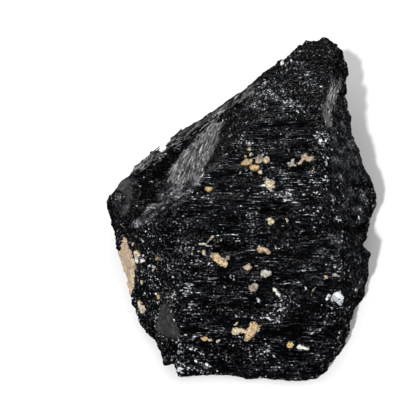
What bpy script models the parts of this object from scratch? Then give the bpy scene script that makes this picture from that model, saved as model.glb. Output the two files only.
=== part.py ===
"""A rough lump of black tourmaline (schorl), about 53 x 72 x 25 mm, lying on its flat broken base.

It is a short length of one thick striated crystal. The crystal's long axis runs along X, so its
prism faces all run along X too, and everything else is where it broke: flanks, ledges, undercuts
and the base. Frame: metres, +Z up, +X to the right, +Y away from the viewer, the origin under the
middle of the lump's box, on the surface that it rests on.

The way it is made: a block is cut by one plane for each face, V-shaped steps and shell-shaped
hollows are cut out with Booleans, each flat is filled with a lattice of small triangles, and the
lattice is raised and lowered by the relief of the surface. On the prism faces the lattice is drawn
out along the crystal, as the striations are.
"""

import math

import bmesh
import bpy
from mathutils import Matrix, Vector, noise
from mathutils.geometry import delaunay_2d_cdt

MM = 0.001

# Driving dimensions, in millimetres.
BLOCK = (80.0, 100.0, 60.0)  # the block that the lump is cut from
PRISM_LATTICE = (2.0, 0.85)  # a lattice triangle's side on the prism faces, along and across
BROKEN_LATTICE = (1.35, 1.35)  # the same on the broken faces
BASE_LATTICE = (6.0, 6.0)  # the same on the flat base, which has no relief
SHORTEST_EDGE = 0.35  # corners closer than this become one
BORDER_CLEARANCE = 0.45  # a lattice point is at least this many lattice sides from its face's edge
CUTTER_REACH = 60.0  # how far a step's walls run, which is past the lump's far side

RIB_HEIGHT = 0.11  # the ribs that run along the prism faces
RIB_PITCH = 2.9
RIB_DRIFT = (0.6, 26.0, 15.0)  # how many pitches a rib wanders, and over what length along and across
RIB_SLANT = 0.8  # how many millimetres a fall of 1 mm counts for in the pitch
SPLINTER = (12.0, 1.8)  # length and width of the splinters between the ribs
SPLINTER_STEP = 0.18  # how far a splinter stands above or below its neighbours
CHIP = 6.5  # width of the chips on the broken faces
CHIP_SLOPE = 0.2
CHIP_LIMIT = 0.8  # the most that a chip stands above or below the face
LUMP_HEIGHT = 0.9  # the broader lumps under the chips
LUMP = 9.0
SUMMIT = (20.0, 27.0)  # from the first to the second y, the striations give way to a rough summit
END_LEAN = 0.7  # how far a step's end leans outwards for each unit that its walls rise
FOOT = (3.0, 0.3)  # below this height the relief fades, to this share of itself at the base
CLEAR_OF_BASE = 0.08  # the least height of a point that isn't on the base
SPLINTER_SEED = 7.3  # two factors that make the steps and the leans look random
CHIP_SEED = 5.7

# The prism faces, from the foot of the front up over the crest and down the back: the tilt from
# level, with + facing the front (-Y), and a point (y, z) that the face passes through.
PRISM_FACES = [
    (76, (-33.9, 2.0)),
    (57, (-33.1, 5.0)),
    (41, (-25.5, 14.0)),
    (24, (-17.0, 19.2)),
    (11, (-6.0, 22.8)),
    (2, (6.0, 24.4)),
    (-9, (17.0, 24.4)),
    (-21, (27.0, 22.9)),
    (-55, (35.6, 19.8)),
]

# The breaks: name, azimuth of the outward direction in plan (0 = +X, 90 = +Y), tilt from level
# (0 faces up, 90 is a wall, 180 faces down), and a point (x, y, z) on the face.
BREAKS = [
    ("upper left flank", 157, 31, (-6.8, -3.5, 22.5)),
    ("upper left brow", 138, 53, (1.5, 23.2, 17.8)),
    ("upper left wall", 131, 96, (-2.6, 21.0, 15.0)),
    ("outer left wall", 142, 94, (-24.0, 6.2, 12.0)),
    ("left tip", 172, 27, (-26.9, -2.3, 13.0)),
    ("left wall", 200, 84, (-24.8, -10.2, 9.0)),
    ("left flank", 206, 64, (-18.4, -14.2, 13.0)),
    ("lower left facet", 213, 66, (-14.2, -23.7, 11.0)),
    ("lower left corner", 230, 84, (-15.4, -30.4, 3.0)),
    ("foot", 266, 84, (0.0, -34.2, 1.0)),
    ("right toe", 296, 84, (13.5, -34.2, 2.0)),
    ("lower right corner", 319, 84, (17.0, -31.8, 3.0)),
    ("lower right wall", 334, 76, (20.4, -22.4, 6.5)),
    ("right flank", 351, 50, (16.4, -4.0, 21.6)),
    ("right wall", 347, 84, (25.9, -1.7, 11.0)),
    ("upper right wall", 8, 86, (24.8, 14.0, 14.0)),
    ("shoulder", 14, 78, (24.0, 29.8, 17.0)),
    ("crest corner", 50, 66, (21.2, 34.8, 18.8)),
    ("crest back", 92, 84, (15.0, 37.4, 17.0)),
    ("under left", 186, 128, (-25.0, -4.0, 8.0)),
    ("under upper left", 136, 122, (-8.0, 16.6, 10.0)),
    ("under back", 88, 126, (14.0, 35.8, 12.0)),
    ("under right", 2, 122, (25.6, 2.0, 7.5)),
    ("under lower left", 219, 122, (-17.0, -26.6, 3.6)),
    ("under lower right", 332, 118, (20.6, -24.0, 4.5)),
    ("under front", 268, 150, (0.0, -33.2, 0.7)),
    ("heel", 70, 162, (10.0, 20.0, 1.2)),
]

# V-shaped steps: name, a point on the step's bottom line, that line's azimuth and rise, the
# azimuth and rise of each of its two walls, and the step's half length.
STEPS = [
    ("valley", (-6.0, 14.0, 14.2), (45, 13), (138, 36), (-38, 44), 15.0),
    ("right_scoop", (22.0, 10.6, 14.0), (180, 76), (88, -4), (-66, -4), 20.0),
    ("bulge_ledge", (22.3, -7.4, 9.5), (180, 64), (66, 8), (-79, 2), 13.0),
    ("shoulder_nick", (21.9, 24.2, 17.0), (200, 72), (68, 0), (-62, 0), 6.0),
]

# Shell-shaped hollows where flakes came off: name, the ball's centre and its radius.
SCOOPS = [
    ("back_shell", (2.0, 38.0, 6.0), 12.0),
    ("left_shell", (-33.0, -10.0, 2.0), 11.0),
    ("right_shell", (33.0, 14.0, 3.0), 12.0),
]

# Swellings, and pits where the height is negative: the centre, the half width along X, Y and Z,
# and the height.
SWELLINGS = [
    ((18.6, 34.8, 19.5), (1.6, 2.2, 2.4), 1.0),
    ((12.2, 33.6, 19.4), (3.0, 3.2, 2.8), -1.1),
    ((14.3, 35.8, 19.6), (1.8, 1.8, 2.2), -0.6),
    ((20.8, 35.6, 19.0), (2.4, 2.4, 3.0), -1.3),
    ((22.4, 29.6, 16.6), (2.2, 3.0, 3.2), 1.1),
    ((23.0, 17.4, 16.0), (2.2, 3.0, 3.2), 1.0),
    ((23.4, 11.0, 12.6), (2.4, 3.0, 3.4), -1.2),
    ((27.5, 1.7, 9.4), (2.2, 2.4, 2.6), -0.6),
    ((24.2, -10.6, 8.4), (2.6, 3.4, 4.0), -1.2),
    ((23.4, -16.4, 8.0), (2.4, 2.6, 3.4), 0.9),
    ((22.4, -20.8, 5.2), (2.2, 2.4, 3.0), -1.0),
    ((20.3, -24.6, 5.0), (2.4, 2.4, 3.0), 0.6),
    ((17.6, -30.0, 5.0), (3.0, 3.0, 3.0), 0.6),
    ((13.6, -34.2, 1.4), (2.2, 2.2, 2.2), -0.6),
    ((8.5, -34.6, 1.8), (5.6, 2.5, 3.2), 0.9),
    ((-14.6, -30.6, 4.0), (3.0, 3.0, 3.2), 1.4),
    ((-23.0, -11.4, 8.0), (2.0, 4.0, 4.0), 0.3),
    ((-19.2, 7.2, 13.8), (2.8, 2.8, 2.6), 1.1),
    ((-16.8, 9.0, 13.6), (1.6, 1.6, 1.8), 1.0),
    ((-14.9, 10.4, 14.0), (1.6, 1.6, 2.2), -1.0),
    ((-11.4, 13.9, 15.0), (1.8, 1.8, 2.0), 1.0),
    ((6.2, -11.3, 21.7), (4.4, 1.3, 1.6), -0.7),
    ((-2.0, -17.9, 18.8), (3.8, 1.2, 1.4), -0.6),
    ((10.1, -3.5, 23.3), (3.2, 1.2, 1.4), -0.6),
    ((2.1, -30.8, 8.5), (3.0, 1.2, 1.6), -0.5),
    ((0.5, -29.6, 10.4), (2.8, 2.0, 2.2), 0.45),
    ((-4.1, -19.8, 18.0), (2.3, 1.2, 1.3), 0.35),
    ((1.6, -2.6, 23.5), (2.2, 1.4, 1.3), 0.35),
    ((10.5, -1.8, 23.6), (2.6, 1.0, 1.2), 0.35),
    ((5.0, -6.5, 22.7), (1.4, 1.4, 1.3), 0.35),
    ((16.5, -25.2, 14.3), (1.8, 1.8, 1.8), 0.4),
    ((-20.6, -14.1, 9.1), (2.2, 5.5, 4.0), 0.5),
]


def direction(azimuth, rise):
    """The unit vector at this azimuth in plan and this rise above level, both in degrees."""
    a = math.radians(azimuth)
    e = math.radians(rise)
    return Vector((math.cos(a) * math.cos(e), math.sin(a) * math.cos(e), math.sin(e)))


def face_normal(azimuth, tilt):
    """The outward normal of a face tilted this much from level towards this azimuth."""
    return direction(azimuth, 90.0 - tilt)


def block():
    """The uncut block, standing on the level that the lump rests on."""
    made = bmesh.new()
    bmesh.ops.create_cube(made, size=1.0)
    bmesh.ops.scale(made, vec=BLOCK, verts=made.verts)
    bmesh.ops.translate(made, vec=(0.0, 0.0, BLOCK[2] / 2), verts=made.verts)
    return made


def cut(made, point, normal):
    """Takes away what lies outside the plane, and closes the cut with one face."""
    geometry = made.verts[:] + made.edges[:] + made.faces[:]
    found = bmesh.ops.bisect_plane(
        made, geom=geometry, plane_co=point, plane_no=normal, clear_outer=True
    )
    edges = [part for part in found["geom_cut"] if isinstance(part, bmesh.types.BMEdge)]
    if edges:
        bmesh.ops.edgeloop_fill(made, edges=edges)


def faceted_lump():
    """The block after every prism face and every break has been cut."""
    made = block()
    for tilt, (y, z) in PRISM_FACES:
        cut(made, Vector((0.0, y, z)), face_normal(-90, tilt))
    for _name, azimuth, tilt, point in BREAKS:
        cut(made, Vector(point), face_normal(azimuth, tilt))
    bmesh.ops.remove_doubles(made, verts=made.verts, dist=0.02)
    bmesh.ops.recalc_face_normals(made, faces=made.faces)
    return made


def object_from(made, name):
    """Turns the bmesh into an object in the scene."""
    mesh = bpy.data.meshes.new(name)
    made.to_mesh(mesh)
    made.free()
    obj = bpy.data.objects.new(name, mesh)
    bpy.context.scene.collection.objects.link(obj)
    return obj


def cutter_from(made, name):
    """Turns the bmesh into a cutter, which is never a part of the lump."""
    bmesh.ops.recalc_face_normals(made, faces=made.faces)
    cutter = object_from(made, name)
    cutter.hide_render = True
    cutter.display_type = "WIRE"
    return cutter


def step_cutter(name, point, line, wall_a, wall_b, half_length):
    """A trough whose bottom edge is the step's bottom line, and whose two ends lean outwards."""
    along = direction(*line)
    corners = [(Vector(point), half_length)]
    for wall in (wall_a, wall_b):
        top = Vector(point) + direction(*wall) * CUTTER_REACH
        corners.append((top, half_length + CUTTER_REACH * END_LEAN))
    made = bmesh.new()
    ends = [
        [made.verts.new(corner + along * side * length) for corner, length in corners]
        for side in (-1, 1)
    ]
    made.faces.new(ends[0])
    made.faces.new(ends[1])
    for i in range(3):
        j = (i + 1) % 3
        made.faces.new((ends[0][i], ends[0][j], ends[1][j], ends[1][i]))
    return cutter_from(made, name)


def scoop_cutter(name, centre, radius):
    """A ball, faceted about as finely as the lattice."""
    made = bmesh.new()
    bmesh.ops.create_icosphere(made, subdivisions=3, radius=radius)
    bmesh.ops.translate(made, vec=centre, verts=made.verts)
    return cutter_from(made, name)


def carved_lump():
    """The faceted lump with the steps and the shells cut out of it, as a bmesh."""
    lump = object_from(faceted_lump(), "lump")
    cutters = [step_cutter(*step) for step in STEPS] + [scoop_cutter(*s) for s in SCOOPS]
    for cutter in cutters:
        modifier = lump.modifiers.new(cutter.name, "BOOLEAN")
        modifier.operation = "DIFFERENCE"
        modifier.object = cutter
    made = bmesh.new()
    made.from_object(lump, bpy.context.evaluated_depsgraph_get())
    for helper in [lump, *cutters]:
        bpy.data.objects.remove(helper)
    bmesh.ops.dissolve_limit(
        made, angle_limit=math.radians(0.5), verts=made.verts, edges=made.edges
    )
    bmesh.ops.remove_doubles(made, verts=made.verts, dist=SHORTEST_EDGE)
    return made


def is_base(face):
    return face.normal.z < -0.999


def is_striated(face):
    return abs(face.normal.x) < 0.01 and face.normal.z > 0.0


def lattice_of(face):
    """The side of the face's lattice triangles, along and across."""
    if is_base(face):
        return BASE_LATTICE
    return PRISM_LATTICE if is_striated(face) else BROKEN_LATTICE


def axes_of(face):
    """The directions along and across in the face: along is level, and along X on a prism face."""
    along = Vector((0.0, 0.0, 1.0)).cross(face.normal)
    if is_striated(face) or along.length < 0.01:
        along = Vector((1.0, 0.0, 0.0)) - face.normal * face.normal.x
    along.normalize()
    return along, face.normal.cross(along)


def lattice_length(face, step):
    """How many lattice sides long this step is in the face."""
    along, across = axes_of(face)
    side = lattice_of(face)
    return math.hypot(step.dot(along) / side[0], step.dot(across) / side[1])


def split_edges(made):
    """Cuts every edge into equal lengths near the finer of its two faces' lattices."""
    for edge in made.edges[:]:
        step = edge.verts[1].co - edge.verts[0].co
        cuts = round(max(lattice_length(face, step) for face in edge.link_faces)) - 1
        if cuts > 0:
            bmesh.ops.subdivide_edges(made, edges=[edge], cuts=cuts)


def inside(point, outline):
    """Whether a point in the plane is inside the outline, by counting the sides that it crosses."""
    crossed = False
    for a, b in zip(outline, outline[1:] + outline[:1]):
        if (a.y > point.y) != (b.y > point.y):
            x = a.x + (point.y - a.y) * (b.x - a.x) / (b.y - a.y)
            crossed ^= point.x < x
    return crossed


def clearance(point, outline):
    """The distance from a point to the nearest side of the outline."""
    nearest = math.inf
    for a, b in zip(outline, outline[1:] + outline[:1]):
        side = b - a
        share = max(0.0, min(1.0, (point - a).dot(side) / max(side.length_squared, 1e-9)))
        nearest = min(nearest, (point - a - side * share).length)
    return nearest


def lattice_points(outline):
    """Points of a triangular lattice of side 1 that lie well inside the outline."""
    low = Vector((min(p.x for p in outline), min(p.y for p in outline)))
    high = Vector((max(p.x for p in outline), max(p.y for p in outline)))
    row_height = math.sqrt(3) / 2
    found = []
    for row in range(1, int((high.y - low.y) / row_height) + 1):
        shift = 0.5 * (row % 2)
        for column in range(int(high.x - low.x) + 2):
            point = low + Vector((column + shift, row * row_height))
            if inside(point, outline) and clearance(point, outline) > BORDER_CLEARANCE:
                found.append(point)
    return found


def fill_face(face, made, copies, kinds):
    """Adds the face to the new mesh as a lattice of triangles that share its border's points."""
    along, across = axes_of(face)
    side = lattice_of(face)
    origin = face.verts[0].co.copy()
    steps = [vert.co - origin for vert in face.verts]
    outline = [Vector((s.dot(along) / side[0], s.dot(across) / side[1])) for s in steps]
    count = len(outline)
    border = [(i, (i + 1) % count) for i in range(count)]
    points, _, triangles, first, _, _ = delaunay_2d_cdt(
        outline + lattice_points(outline), border, [], 1, 1e-5
    )
    placed = []
    for point, sources in zip(points, first):
        corner = next((i for i in sources if i < count), None)
        if corner is None:
            vert = made.verts.new(origin + along * point.x * side[0] + across * point.y * side[1])
            vert[kinds] = float(is_striated(face))
        else:
            vert = copies[face.verts[corner].index]
        placed.append(vert)
    for triangle in triangles:
        made.faces.new([placed[i] for i in triangle])


def latticed(made):
    """The same solid with every flat filled with small triangles."""
    split_edges(made)
    made.verts.index_update()
    finer = bmesh.new()
    kinds = finer.verts.layers.float.new("striated")
    copies = []
    for vert in made.verts:
        copy = finer.verts.new(vert.co)
        share = [float(is_striated(face)) for face in vert.link_faces]
        copy[kinds] = sum(share) / len(share)
        copies.append(copy)
    for face in made.faces:
        fill_face(face, finer, copies, kinds)
    made.free()
    finer.normal_update()
    return finer


def splinter(point):
    """The step of the splinter that a point of a prism face lies on, from -1 to 1."""
    length, width = SPLINTER
    nearest = noise.voronoi(Vector((point.x / length, point.y / width, point.z / width)))
    return 2.0 * noise.cell(nearest[1][0] * SPLINTER_SEED) - 1.0


def rib(point):
    """The long ribs of a prism face, from -1 to 1."""
    pitches, along, across = RIB_DRIFT
    drift = pitches * noise.noise(Vector((point.x / along, point.y / across, 3.0)))
    return math.sin(2 * math.pi * ((point.y - RIB_SLANT * point.z) / RIB_PITCH + drift))


def chips(point):
    """The flat chips of a broken face, each tilted its own way, in millimetres."""
    centre = noise.voronoi(point / CHIP)[1][0]
    lean = noise.cell_vector(centre * CHIP_SEED) * 2.0 - Vector((1.0, 1.0, 1.0))
    height = CHIP_SLOPE * CHIP * (point / CHIP - centre).dot(lean)
    return max(-CHIP_LIMIT, min(CHIP_LIMIT, height))


def summit_share(y):
    """0 where the crystal is striated, 1 on the rough summit, and between them a smooth change."""
    share = max(0.0, min(1.0, (y - SUMMIT[0]) / (SUMMIT[1] - SUMMIT[0])))
    return share * share * (3.0 - 2.0 * share)


def relief(point, striated):
    """How far the surface stands out from the flat at this point, in millimetres."""
    grown = SPLINTER_STEP * splinter(point) + RIB_HEIGHT * rib(point)
    broken = chips(point) + LUMP_HEIGHT * noise.noise(point / LUMP)
    striated *= 1.0 - summit_share(point.y)
    height = striated * grown + (1.0 - striated) * broken
    for centre, reach, rise in SWELLINGS:
        away = [(point[i] - centre[i]) / reach[i] for i in range(3)]
        nearness = 1.0 - sum(a * a for a in away)
        if nearness > 0.0:
            height += rise * nearness * nearness * (3.0 - 2.0 * nearness)
    return height


def calmness(vert):
    """1 in the open, and less where an edge is sharp or the base is near."""
    flatness = max(0.3, min(face.normal.dot(vert.normal) for face in vert.link_faces))
    height, least = FOOT
    return flatness * (least + (1.0 - least) * min(1.0, vert.co.z / height))


def carve(made):
    """Raises and lowers the lattice by the relief, leaving the base flat."""
    kinds = made.verts.layers.float["striated"]
    moves = []
    for vert in made.verts:
        move = vert.normal * relief(vert.co, vert[kinds]) * calmness(vert)
        if vert.co.z < 0.01:
            move.z = 0.0
            if all(is_base(face) for face in vert.link_faces):
                move.x = 0.0
                move.y = 0.0
        else:
            move.z = max(move.z, CLEAR_OF_BASE - vert.co.z)
        moves.append(move)
    for vert, move in zip(made.verts, moves):
        vert.co += move


def centred(made):
    """Moves the lump so that the middle of its box is over the origin."""
    low = [min(vert.co[i] for vert in made.verts) for i in range(2)]
    high = [max(vert.co[i] for vert in made.verts) for i in range(2)]
    shift = Vector((-(low[0] + high[0]) / 2, -(low[1] + high[1]) / 2, 0.0))
    bmesh.ops.translate(made, vec=shift, verts=made.verts)


def tourmaline_material():
    """Black, with a glassy lustre."""
    made = bpy.data.materials.new("black_tourmaline")
    made.use_nodes = True
    shader = made.node_tree.nodes["Principled BSDF"]
    shader.inputs["Base Color"].default_value = (0.012, 0.012, 0.014, 1.0)
    shader.inputs["Roughness"].default_value = 0.32
    shader.inputs["Metallic"].default_value = 0.0
    shader.inputs["IOR"].default_value = 1.64
    return made


def tourmaline_crystal():
    """The whole lump as one solid."""
    made = latticed(carved_lump())
    carve(made)
    centred(made)
    bmesh.ops.transform(made, matrix=Matrix.Scale(MM, 4), verts=made.verts)
    crystal = object_from(made, "tourmaline_crystal")
    crystal.data.materials.append(tourmaline_material())
    return crystal


def main():
    for obj in list(bpy.data.objects):
        bpy.data.objects.remove(obj)
    tourmaline_crystal()


main()
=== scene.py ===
# %% [markdown]
# # A rough lump of black tourmaline
# The lump is a short length of one thick crystal, as it came out of the rock: striated crystal
# faces on top and in front, and rough breaks everywhere else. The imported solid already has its
# planes, steps and ledges. This lesson gives it the fine surface: needles and ribs along the
# crystal, grainy breaks, satin splinters, pits, feldspar grains and flakes of mica.

# %% Load the frame
import math
import random

import bmesh
import bpy
import numpy as np
from mathutils import Euler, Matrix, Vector, noise
from mathutils.bvhtree import BVHTree


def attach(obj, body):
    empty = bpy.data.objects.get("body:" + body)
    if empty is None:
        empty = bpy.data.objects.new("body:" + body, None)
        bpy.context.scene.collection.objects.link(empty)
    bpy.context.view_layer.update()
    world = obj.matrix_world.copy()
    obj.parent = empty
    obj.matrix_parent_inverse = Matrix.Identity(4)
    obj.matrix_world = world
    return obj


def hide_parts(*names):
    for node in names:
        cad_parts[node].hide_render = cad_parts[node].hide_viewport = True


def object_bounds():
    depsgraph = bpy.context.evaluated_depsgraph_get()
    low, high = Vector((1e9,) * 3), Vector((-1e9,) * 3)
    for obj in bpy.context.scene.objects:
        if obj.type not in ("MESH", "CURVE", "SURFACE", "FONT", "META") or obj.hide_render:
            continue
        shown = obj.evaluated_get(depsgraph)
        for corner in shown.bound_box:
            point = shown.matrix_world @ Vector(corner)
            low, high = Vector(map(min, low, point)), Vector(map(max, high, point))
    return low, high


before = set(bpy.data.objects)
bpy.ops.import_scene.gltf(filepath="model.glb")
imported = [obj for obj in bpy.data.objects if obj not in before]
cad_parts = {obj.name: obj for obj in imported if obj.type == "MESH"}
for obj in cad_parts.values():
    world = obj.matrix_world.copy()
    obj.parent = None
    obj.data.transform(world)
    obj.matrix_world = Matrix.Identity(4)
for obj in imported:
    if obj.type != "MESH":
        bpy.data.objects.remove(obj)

MM = 0.001
LUMP = "tourmaline_crystal"
MARGIN = 0.02 * MM  # how far inside the solid's box the finest points stay
cad_box = [list(corner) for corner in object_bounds()]
TOP = cad_box[1][2] - MARGIN  # nothing rises above this
print("the solid's box in mm:", [[round(x / MM, 2) for x in corner] for corner in cad_box])

# %% [markdown]
# ## The camera
# The lump lies on a table and is seen from above its foot, at 52 degrees down. The lens is set
# by its focal length in pixels of a square picture 420 pixels wide. The same numbers also turn
# a point of the picture into a ray, which later puts each grain where it shows.

# %% Camera
FRAME_PX = 420
FOCAL_PX = 907
LOOKS_DOWN = 52  # degrees below the horizon
CAMERA_AT = Vector((-6.393, -112.392, 148.3)) * MM
CAMERA_TURN = Euler((math.radians(90 - LOOKS_DOWN), 0.0, 0.0))


def make_camera():
    """The camera, looking down at the lump from its striated front."""
    data = bpy.data.cameras.new("camera")
    data.sensor_width = 36.0
    data.lens = data.sensor_width * FOCAL_PX / FRAME_PX
    data.clip_start = 0.01
    made = bpy.data.objects.new("camera", data)
    made.location = CAMERA_AT
    made.rotation_euler = CAMERA_TURN
    bpy.context.scene.collection.objects.link(made)
    bpy.context.scene.camera = made


def ray_through(px, py):
    """The direction from the camera through a point of the picture."""
    local = Vector((px - FRAME_PX / 2, FRAME_PX / 2 - py, -FOCAL_PX))
    return (CAMERA_TURN.to_matrix() @ local).normalized()


make_camera()
print("the camera is", round(CAMERA_AT.z / MM), "mm above the table")

# %% [markdown]
# ## Floor and light
# Black, glassy stone shows only what it reflects. A large bright sky would cover it with an even
# grey veil, so the surroundings stay dim and five far lamps do the work. Three of them show only
# as mirror images: two behind the lump make the sparkle and the lines along the ribs, and one at
# the front left lifts the satin breaks. The other two light only what is dull: the key lamp at
# the front casts the shadow, and a very broad one above gives the even, pale floor.

# %% Floor and light
LIGHTS = [  # name, azimuth and height in degrees, width of its disc in degrees, strength, mirrored
    ("key", 245.0, 44.0, 3.0, 3.1, False),
    ("overhead", 0.0, 90.0, 100.0, 1.9, False),
    ("back_left", 140.0, 50.0, 12.0, 0.45, True),
    ("back", 100.0, 38.0, 8.0, 0.30, True),
    ("front_left", 215.0, 48.0, 12.0, 0.40, True),
]
FLOOR_REACH = 3.0  # m from the middle, past every view
PALE_PAPER = (0.9, 0.9, 0.9, 1.0)
PAPER_ROUGHNESS = 0.9
SKY = (1.0, 1.0, 1.0, 1.0)
SKY_STRENGTH = 0.03


def make_light(name, azimuth, height, width, strength, mirrored):
    """A far lamp in this direction (azimuth 0 is +X and 90 is +Y). A mirrored one shows only in
    glossy surfaces, and the others light only what is dull."""
    data = bpy.data.lights.new(name, "SUN")
    data.angle = math.radians(width)
    data.energy = strength
    made = bpy.data.objects.new(name, data)
    made.rotation_euler = Euler((math.radians(90 - height), 0.0, math.radians(azimuth + 90)))
    made.visible_glossy = mirrored
    made.visible_diffuse = not mirrored
    bpy.context.scene.collection.objects.link(made)


def make_floor():
    """A plain pale floor, which stays out of the lump's mirror images."""
    made = bmesh.new()
    bmesh.ops.create_grid(made, x_segments=1, y_segments=1, size=FLOOR_REACH)
    mesh = bpy.data.meshes.new("floor")
    made.to_mesh(mesh)
    made.free()
    floor = bpy.data.objects.new("floor", mesh)
    bpy.context.scene.collection.objects.link(floor)
    paper = bpy.data.materials.new("pale_paper")
    paper.use_nodes = True
    shader = paper.node_tree.nodes["Principled BSDF"]
    shader.inputs["Base Color"].default_value = PALE_PAPER
    shader.inputs["Roughness"].default_value = PAPER_ROUGHNESS
    mesh.materials.append(paper)
    floor.visible_glossy = False


for light in LIGHTS:
    make_light(*light)
make_floor()
world = bpy.data.worlds.new("studio")
world.use_nodes = True
world.node_tree.nodes["Background"].inputs["Color"].default_value = SKY
world.node_tree.nodes["Background"].inputs["Strength"].default_value = SKY_STRENGTH
bpy.context.scene.world = world
bpy.context.scene.view_settings.view_transform = "Standard"
print(len(LIGHTS), "lamps,", sum(light[-1] for light in LIGHTS), "of them seen only as mirror images")

# %% [markdown]
# ## A finer copy of the lump
# The solid is a lattice of flat triangles. Its own mesh is left alone: a copy is merged into one
# skin, each triangle is cut into 25, and a few rounds of smoothing take the lattice's corners
# off. The triangles stay long along the crystal and short across it, so they can carry ribs
# that a lattice of equal triangles would need many more of.

# %% A finer copy of the lump
CUTS = 4  # cuts in each edge
SMOOTHING = 5  # rounds, each of which moves a point halfway to its neighbours' middle
SAME_PLACE = 0.001 * MM  # corners this close are one
ON_BASE = 0.01 * MM  # a point no higher than this lies on the base, which stays flat


def welded_copy(node):
    """The node's loose triangles, merged into one skin."""
    made = bmesh.new()
    made.from_mesh(node.data)
    bmesh.ops.remove_doubles(made, verts=made.verts, dist=SAME_PLACE)
    return made


def refined(made):
    """Cuts the triangles finer and takes the lattice's corners off, away from the base."""
    bmesh.ops.subdivide_edges(made, edges=made.edges[:], cuts=CUTS, use_grid_fill=True)
    free = [vert for vert in made.verts if vert.co.z > ON_BASE]
    for _ in range(SMOOTHING):
        bmesh.ops.smooth_vert(
            made, verts=free, factor=0.5, use_axis_x=True, use_axis_y=True, use_axis_z=True
        )
    made.normal_update()
    return made


skin = welded_copy(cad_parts[LUMP])
skin_tree = BVHTree.FromBMesh(skin)
refined(skin)
fine = bpy.data.meshes.new("tourmaline_lump")
skin.to_mesh(fine)
skin.free()
print("the finer copy has", len(fine.vertices), "points and", len(fine.polygons), "triangles")

# %% [markdown]
# ## Small knobs on the outline
# Some knobs and notches of the outline are smaller than the solid's triangles. Each is a nudge,
# as a sculpting brush would make it: all points within a radius of one place of the picture, in
# front and behind, slide level with the table, so the base stays flat. They move most in the
# middle and not at all at the rim, and no slide is longer than 0.6 of its radius, so the skin
# doesn't fold. A brush would do it too, but a list of nudges can be read and changed.

# %% Small knobs on the outline
PX_PER_MM = 5.04  # of the picture, at the lump
AWAY_PX_PER_MM = PX_PER_MM * math.sin(math.radians(LOOKS_DOWN))  # of a level step away
NUDGES = [  # place in the picture, radius, and how far it slides right and down, all in pixels
    ((167, 360), 9.0, (-1.5, 5.0)), ((184, 369), 11.0, (-4.0, 4.5)), ((301, 46), 7.0, (-1.5, -3.0)),
    ((309, 39), 7.0, (0.0, 2.5)), ((323, 41), 7.0, (0.0, -3.0)), ((338, 43), 9.0, (-1.5, 3.5)),
    ((113, 223), 9.0, (-2.5, 0.5)), ((173, 151), 6.0, (-2.0, -2.0)), ((152, 153), 7.0, (-1.5, -1.5)),
    ((346, 103), 7.0, (3.0, 0.0)), ((355, 142), 8.0, (-2.5, 0.0)), ((280, 62), 6.0, (-2.0, -2.5)),
    ((367, 244), 9.0, (-2.5, 0.0)), ((318, 376), 9.0, (1.5, 2.0)), ((251, 378), 12.0, (0.0, 1.5)),
]


def pictured(spots):
    """Where these points, in mm, show in the picture."""
    local = (spots - np.array(CAMERA_AT) / MM) @ np.array(CAMERA_TURN.to_matrix())
    return FRAME_PX / 2 + FOCAL_PX * local[:, :2] * (1, -1) / -local[:, 2:]


def level_step(right, down):
    """A step in the picture, as the level step in mm that shows like it."""
    return right / PX_PER_MM, -down / AWAY_PX_PER_MM, 0.0


def nudged(spots):
    """The points, in mm, after every nudge."""
    moved = spots.copy()
    places = pictured(spots)
    for middle, radius, slide in NUDGES:
        outwards = np.linalg.norm(places - middle, axis=1) / radius
        nearness = np.clip(1.0 - outwards**2, 0.0, 1.0) ** 2
        moved += nearness[:, None] * level_step(*slide)
    return moved


def touched(px, py):
    """Where the ray through a point of the picture meets the lump, and the normal there."""
    place, normal, _face, _distance = skin_tree.ray_cast(CAMERA_AT, ray_through(px, py))
    if place is None:
        raise ValueError(f"the lump doesn't show at {px}, {py}")
    return Vector(nudged(np.array([place]) / MM)[0]) * MM, normal


longest_slide = max(math.hypot(*level_step(*slide)) for _, _, slide in NUDGES)
print(len(NUDGES), "knobs and notches, none moved by more than", round(longest_slide, 1), "mm")

# %% [markdown]
# ## Where each kind of surface lies
# A crystal that breaks shows several surfaces at once, and vertex attributes can say which lies
# where. Each mask here is such an attribute, mostly from 0 to 1. The striated one is read from
# the shape: crystal faces look neither left nor right. The others are laid out as outlines and
# lines of the picture, because a break keeps to no rule. All of them have ragged edges. Painting
# them by hand would give the same attributes, but lists can be read and changed one by one.

# %% The finer copy's points
points = np.empty(len(fine.vertices) * 3)
fine.vertices.foreach_get("co", points)
points = nudged(points.reshape(-1, 3) / MM)
fine.vertices.foreach_set("co", (points * MM).ravel())
fine.update()
normals = np.empty(len(fine.vertices) * 3)
fine.vertices.foreach_get("normal", normals)
normals = normals.reshape(-1, 3)
edges = np.empty(len(fine.edges) * 2, dtype=np.int64)
fine.edges.foreach_get("vertices", edges)
edges = edges.reshape(-1, 2)


def spread(values, rounds):
    """Averages each point's value with its neighbours', round after round."""
    count = np.bincount(edges.ravel(), minlength=len(values))
    for _ in range(rounds):
        total = np.bincount(edges[:, 0], values[edges[:, 1]], len(values))
        total += np.bincount(edges[:, 1], values[edges[:, 0]], len(values))
        values = 0.5 * values + 0.5 * total / count
    return values


def ramp(values, low, high):
    """0 below low, 1 above high, and a smooth change between them."""
    share = np.clip((values - low) / (high - low), 0.0, 1.0)
    return share * share * (3.0 - 2.0 * share)


def wavering(size, seed):
    """Smooth noise from -1 to 1 at every point, with features of about this size in mm."""
    shift = Vector((seed, 2.0 * seed, -seed))
    return np.array([noise.noise(Vector(point) / size + shift) for point in points])


def wavering_along(size, times, seed):
    """The same, with features this many times longer along the crystal."""
    shift = Vector((seed, -seed, 3.0 * seed))
    return np.array([noise.noise(Vector((x / times, y, z)) / size + shift) for x, y, z in points])


raggedness = wavering(2.2, 3.0) + 0.6 * wavering(0.8, 7.0)
print("edges wander by up to", round(np.abs(raggedness).max(), 2), "times their rag")

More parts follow.
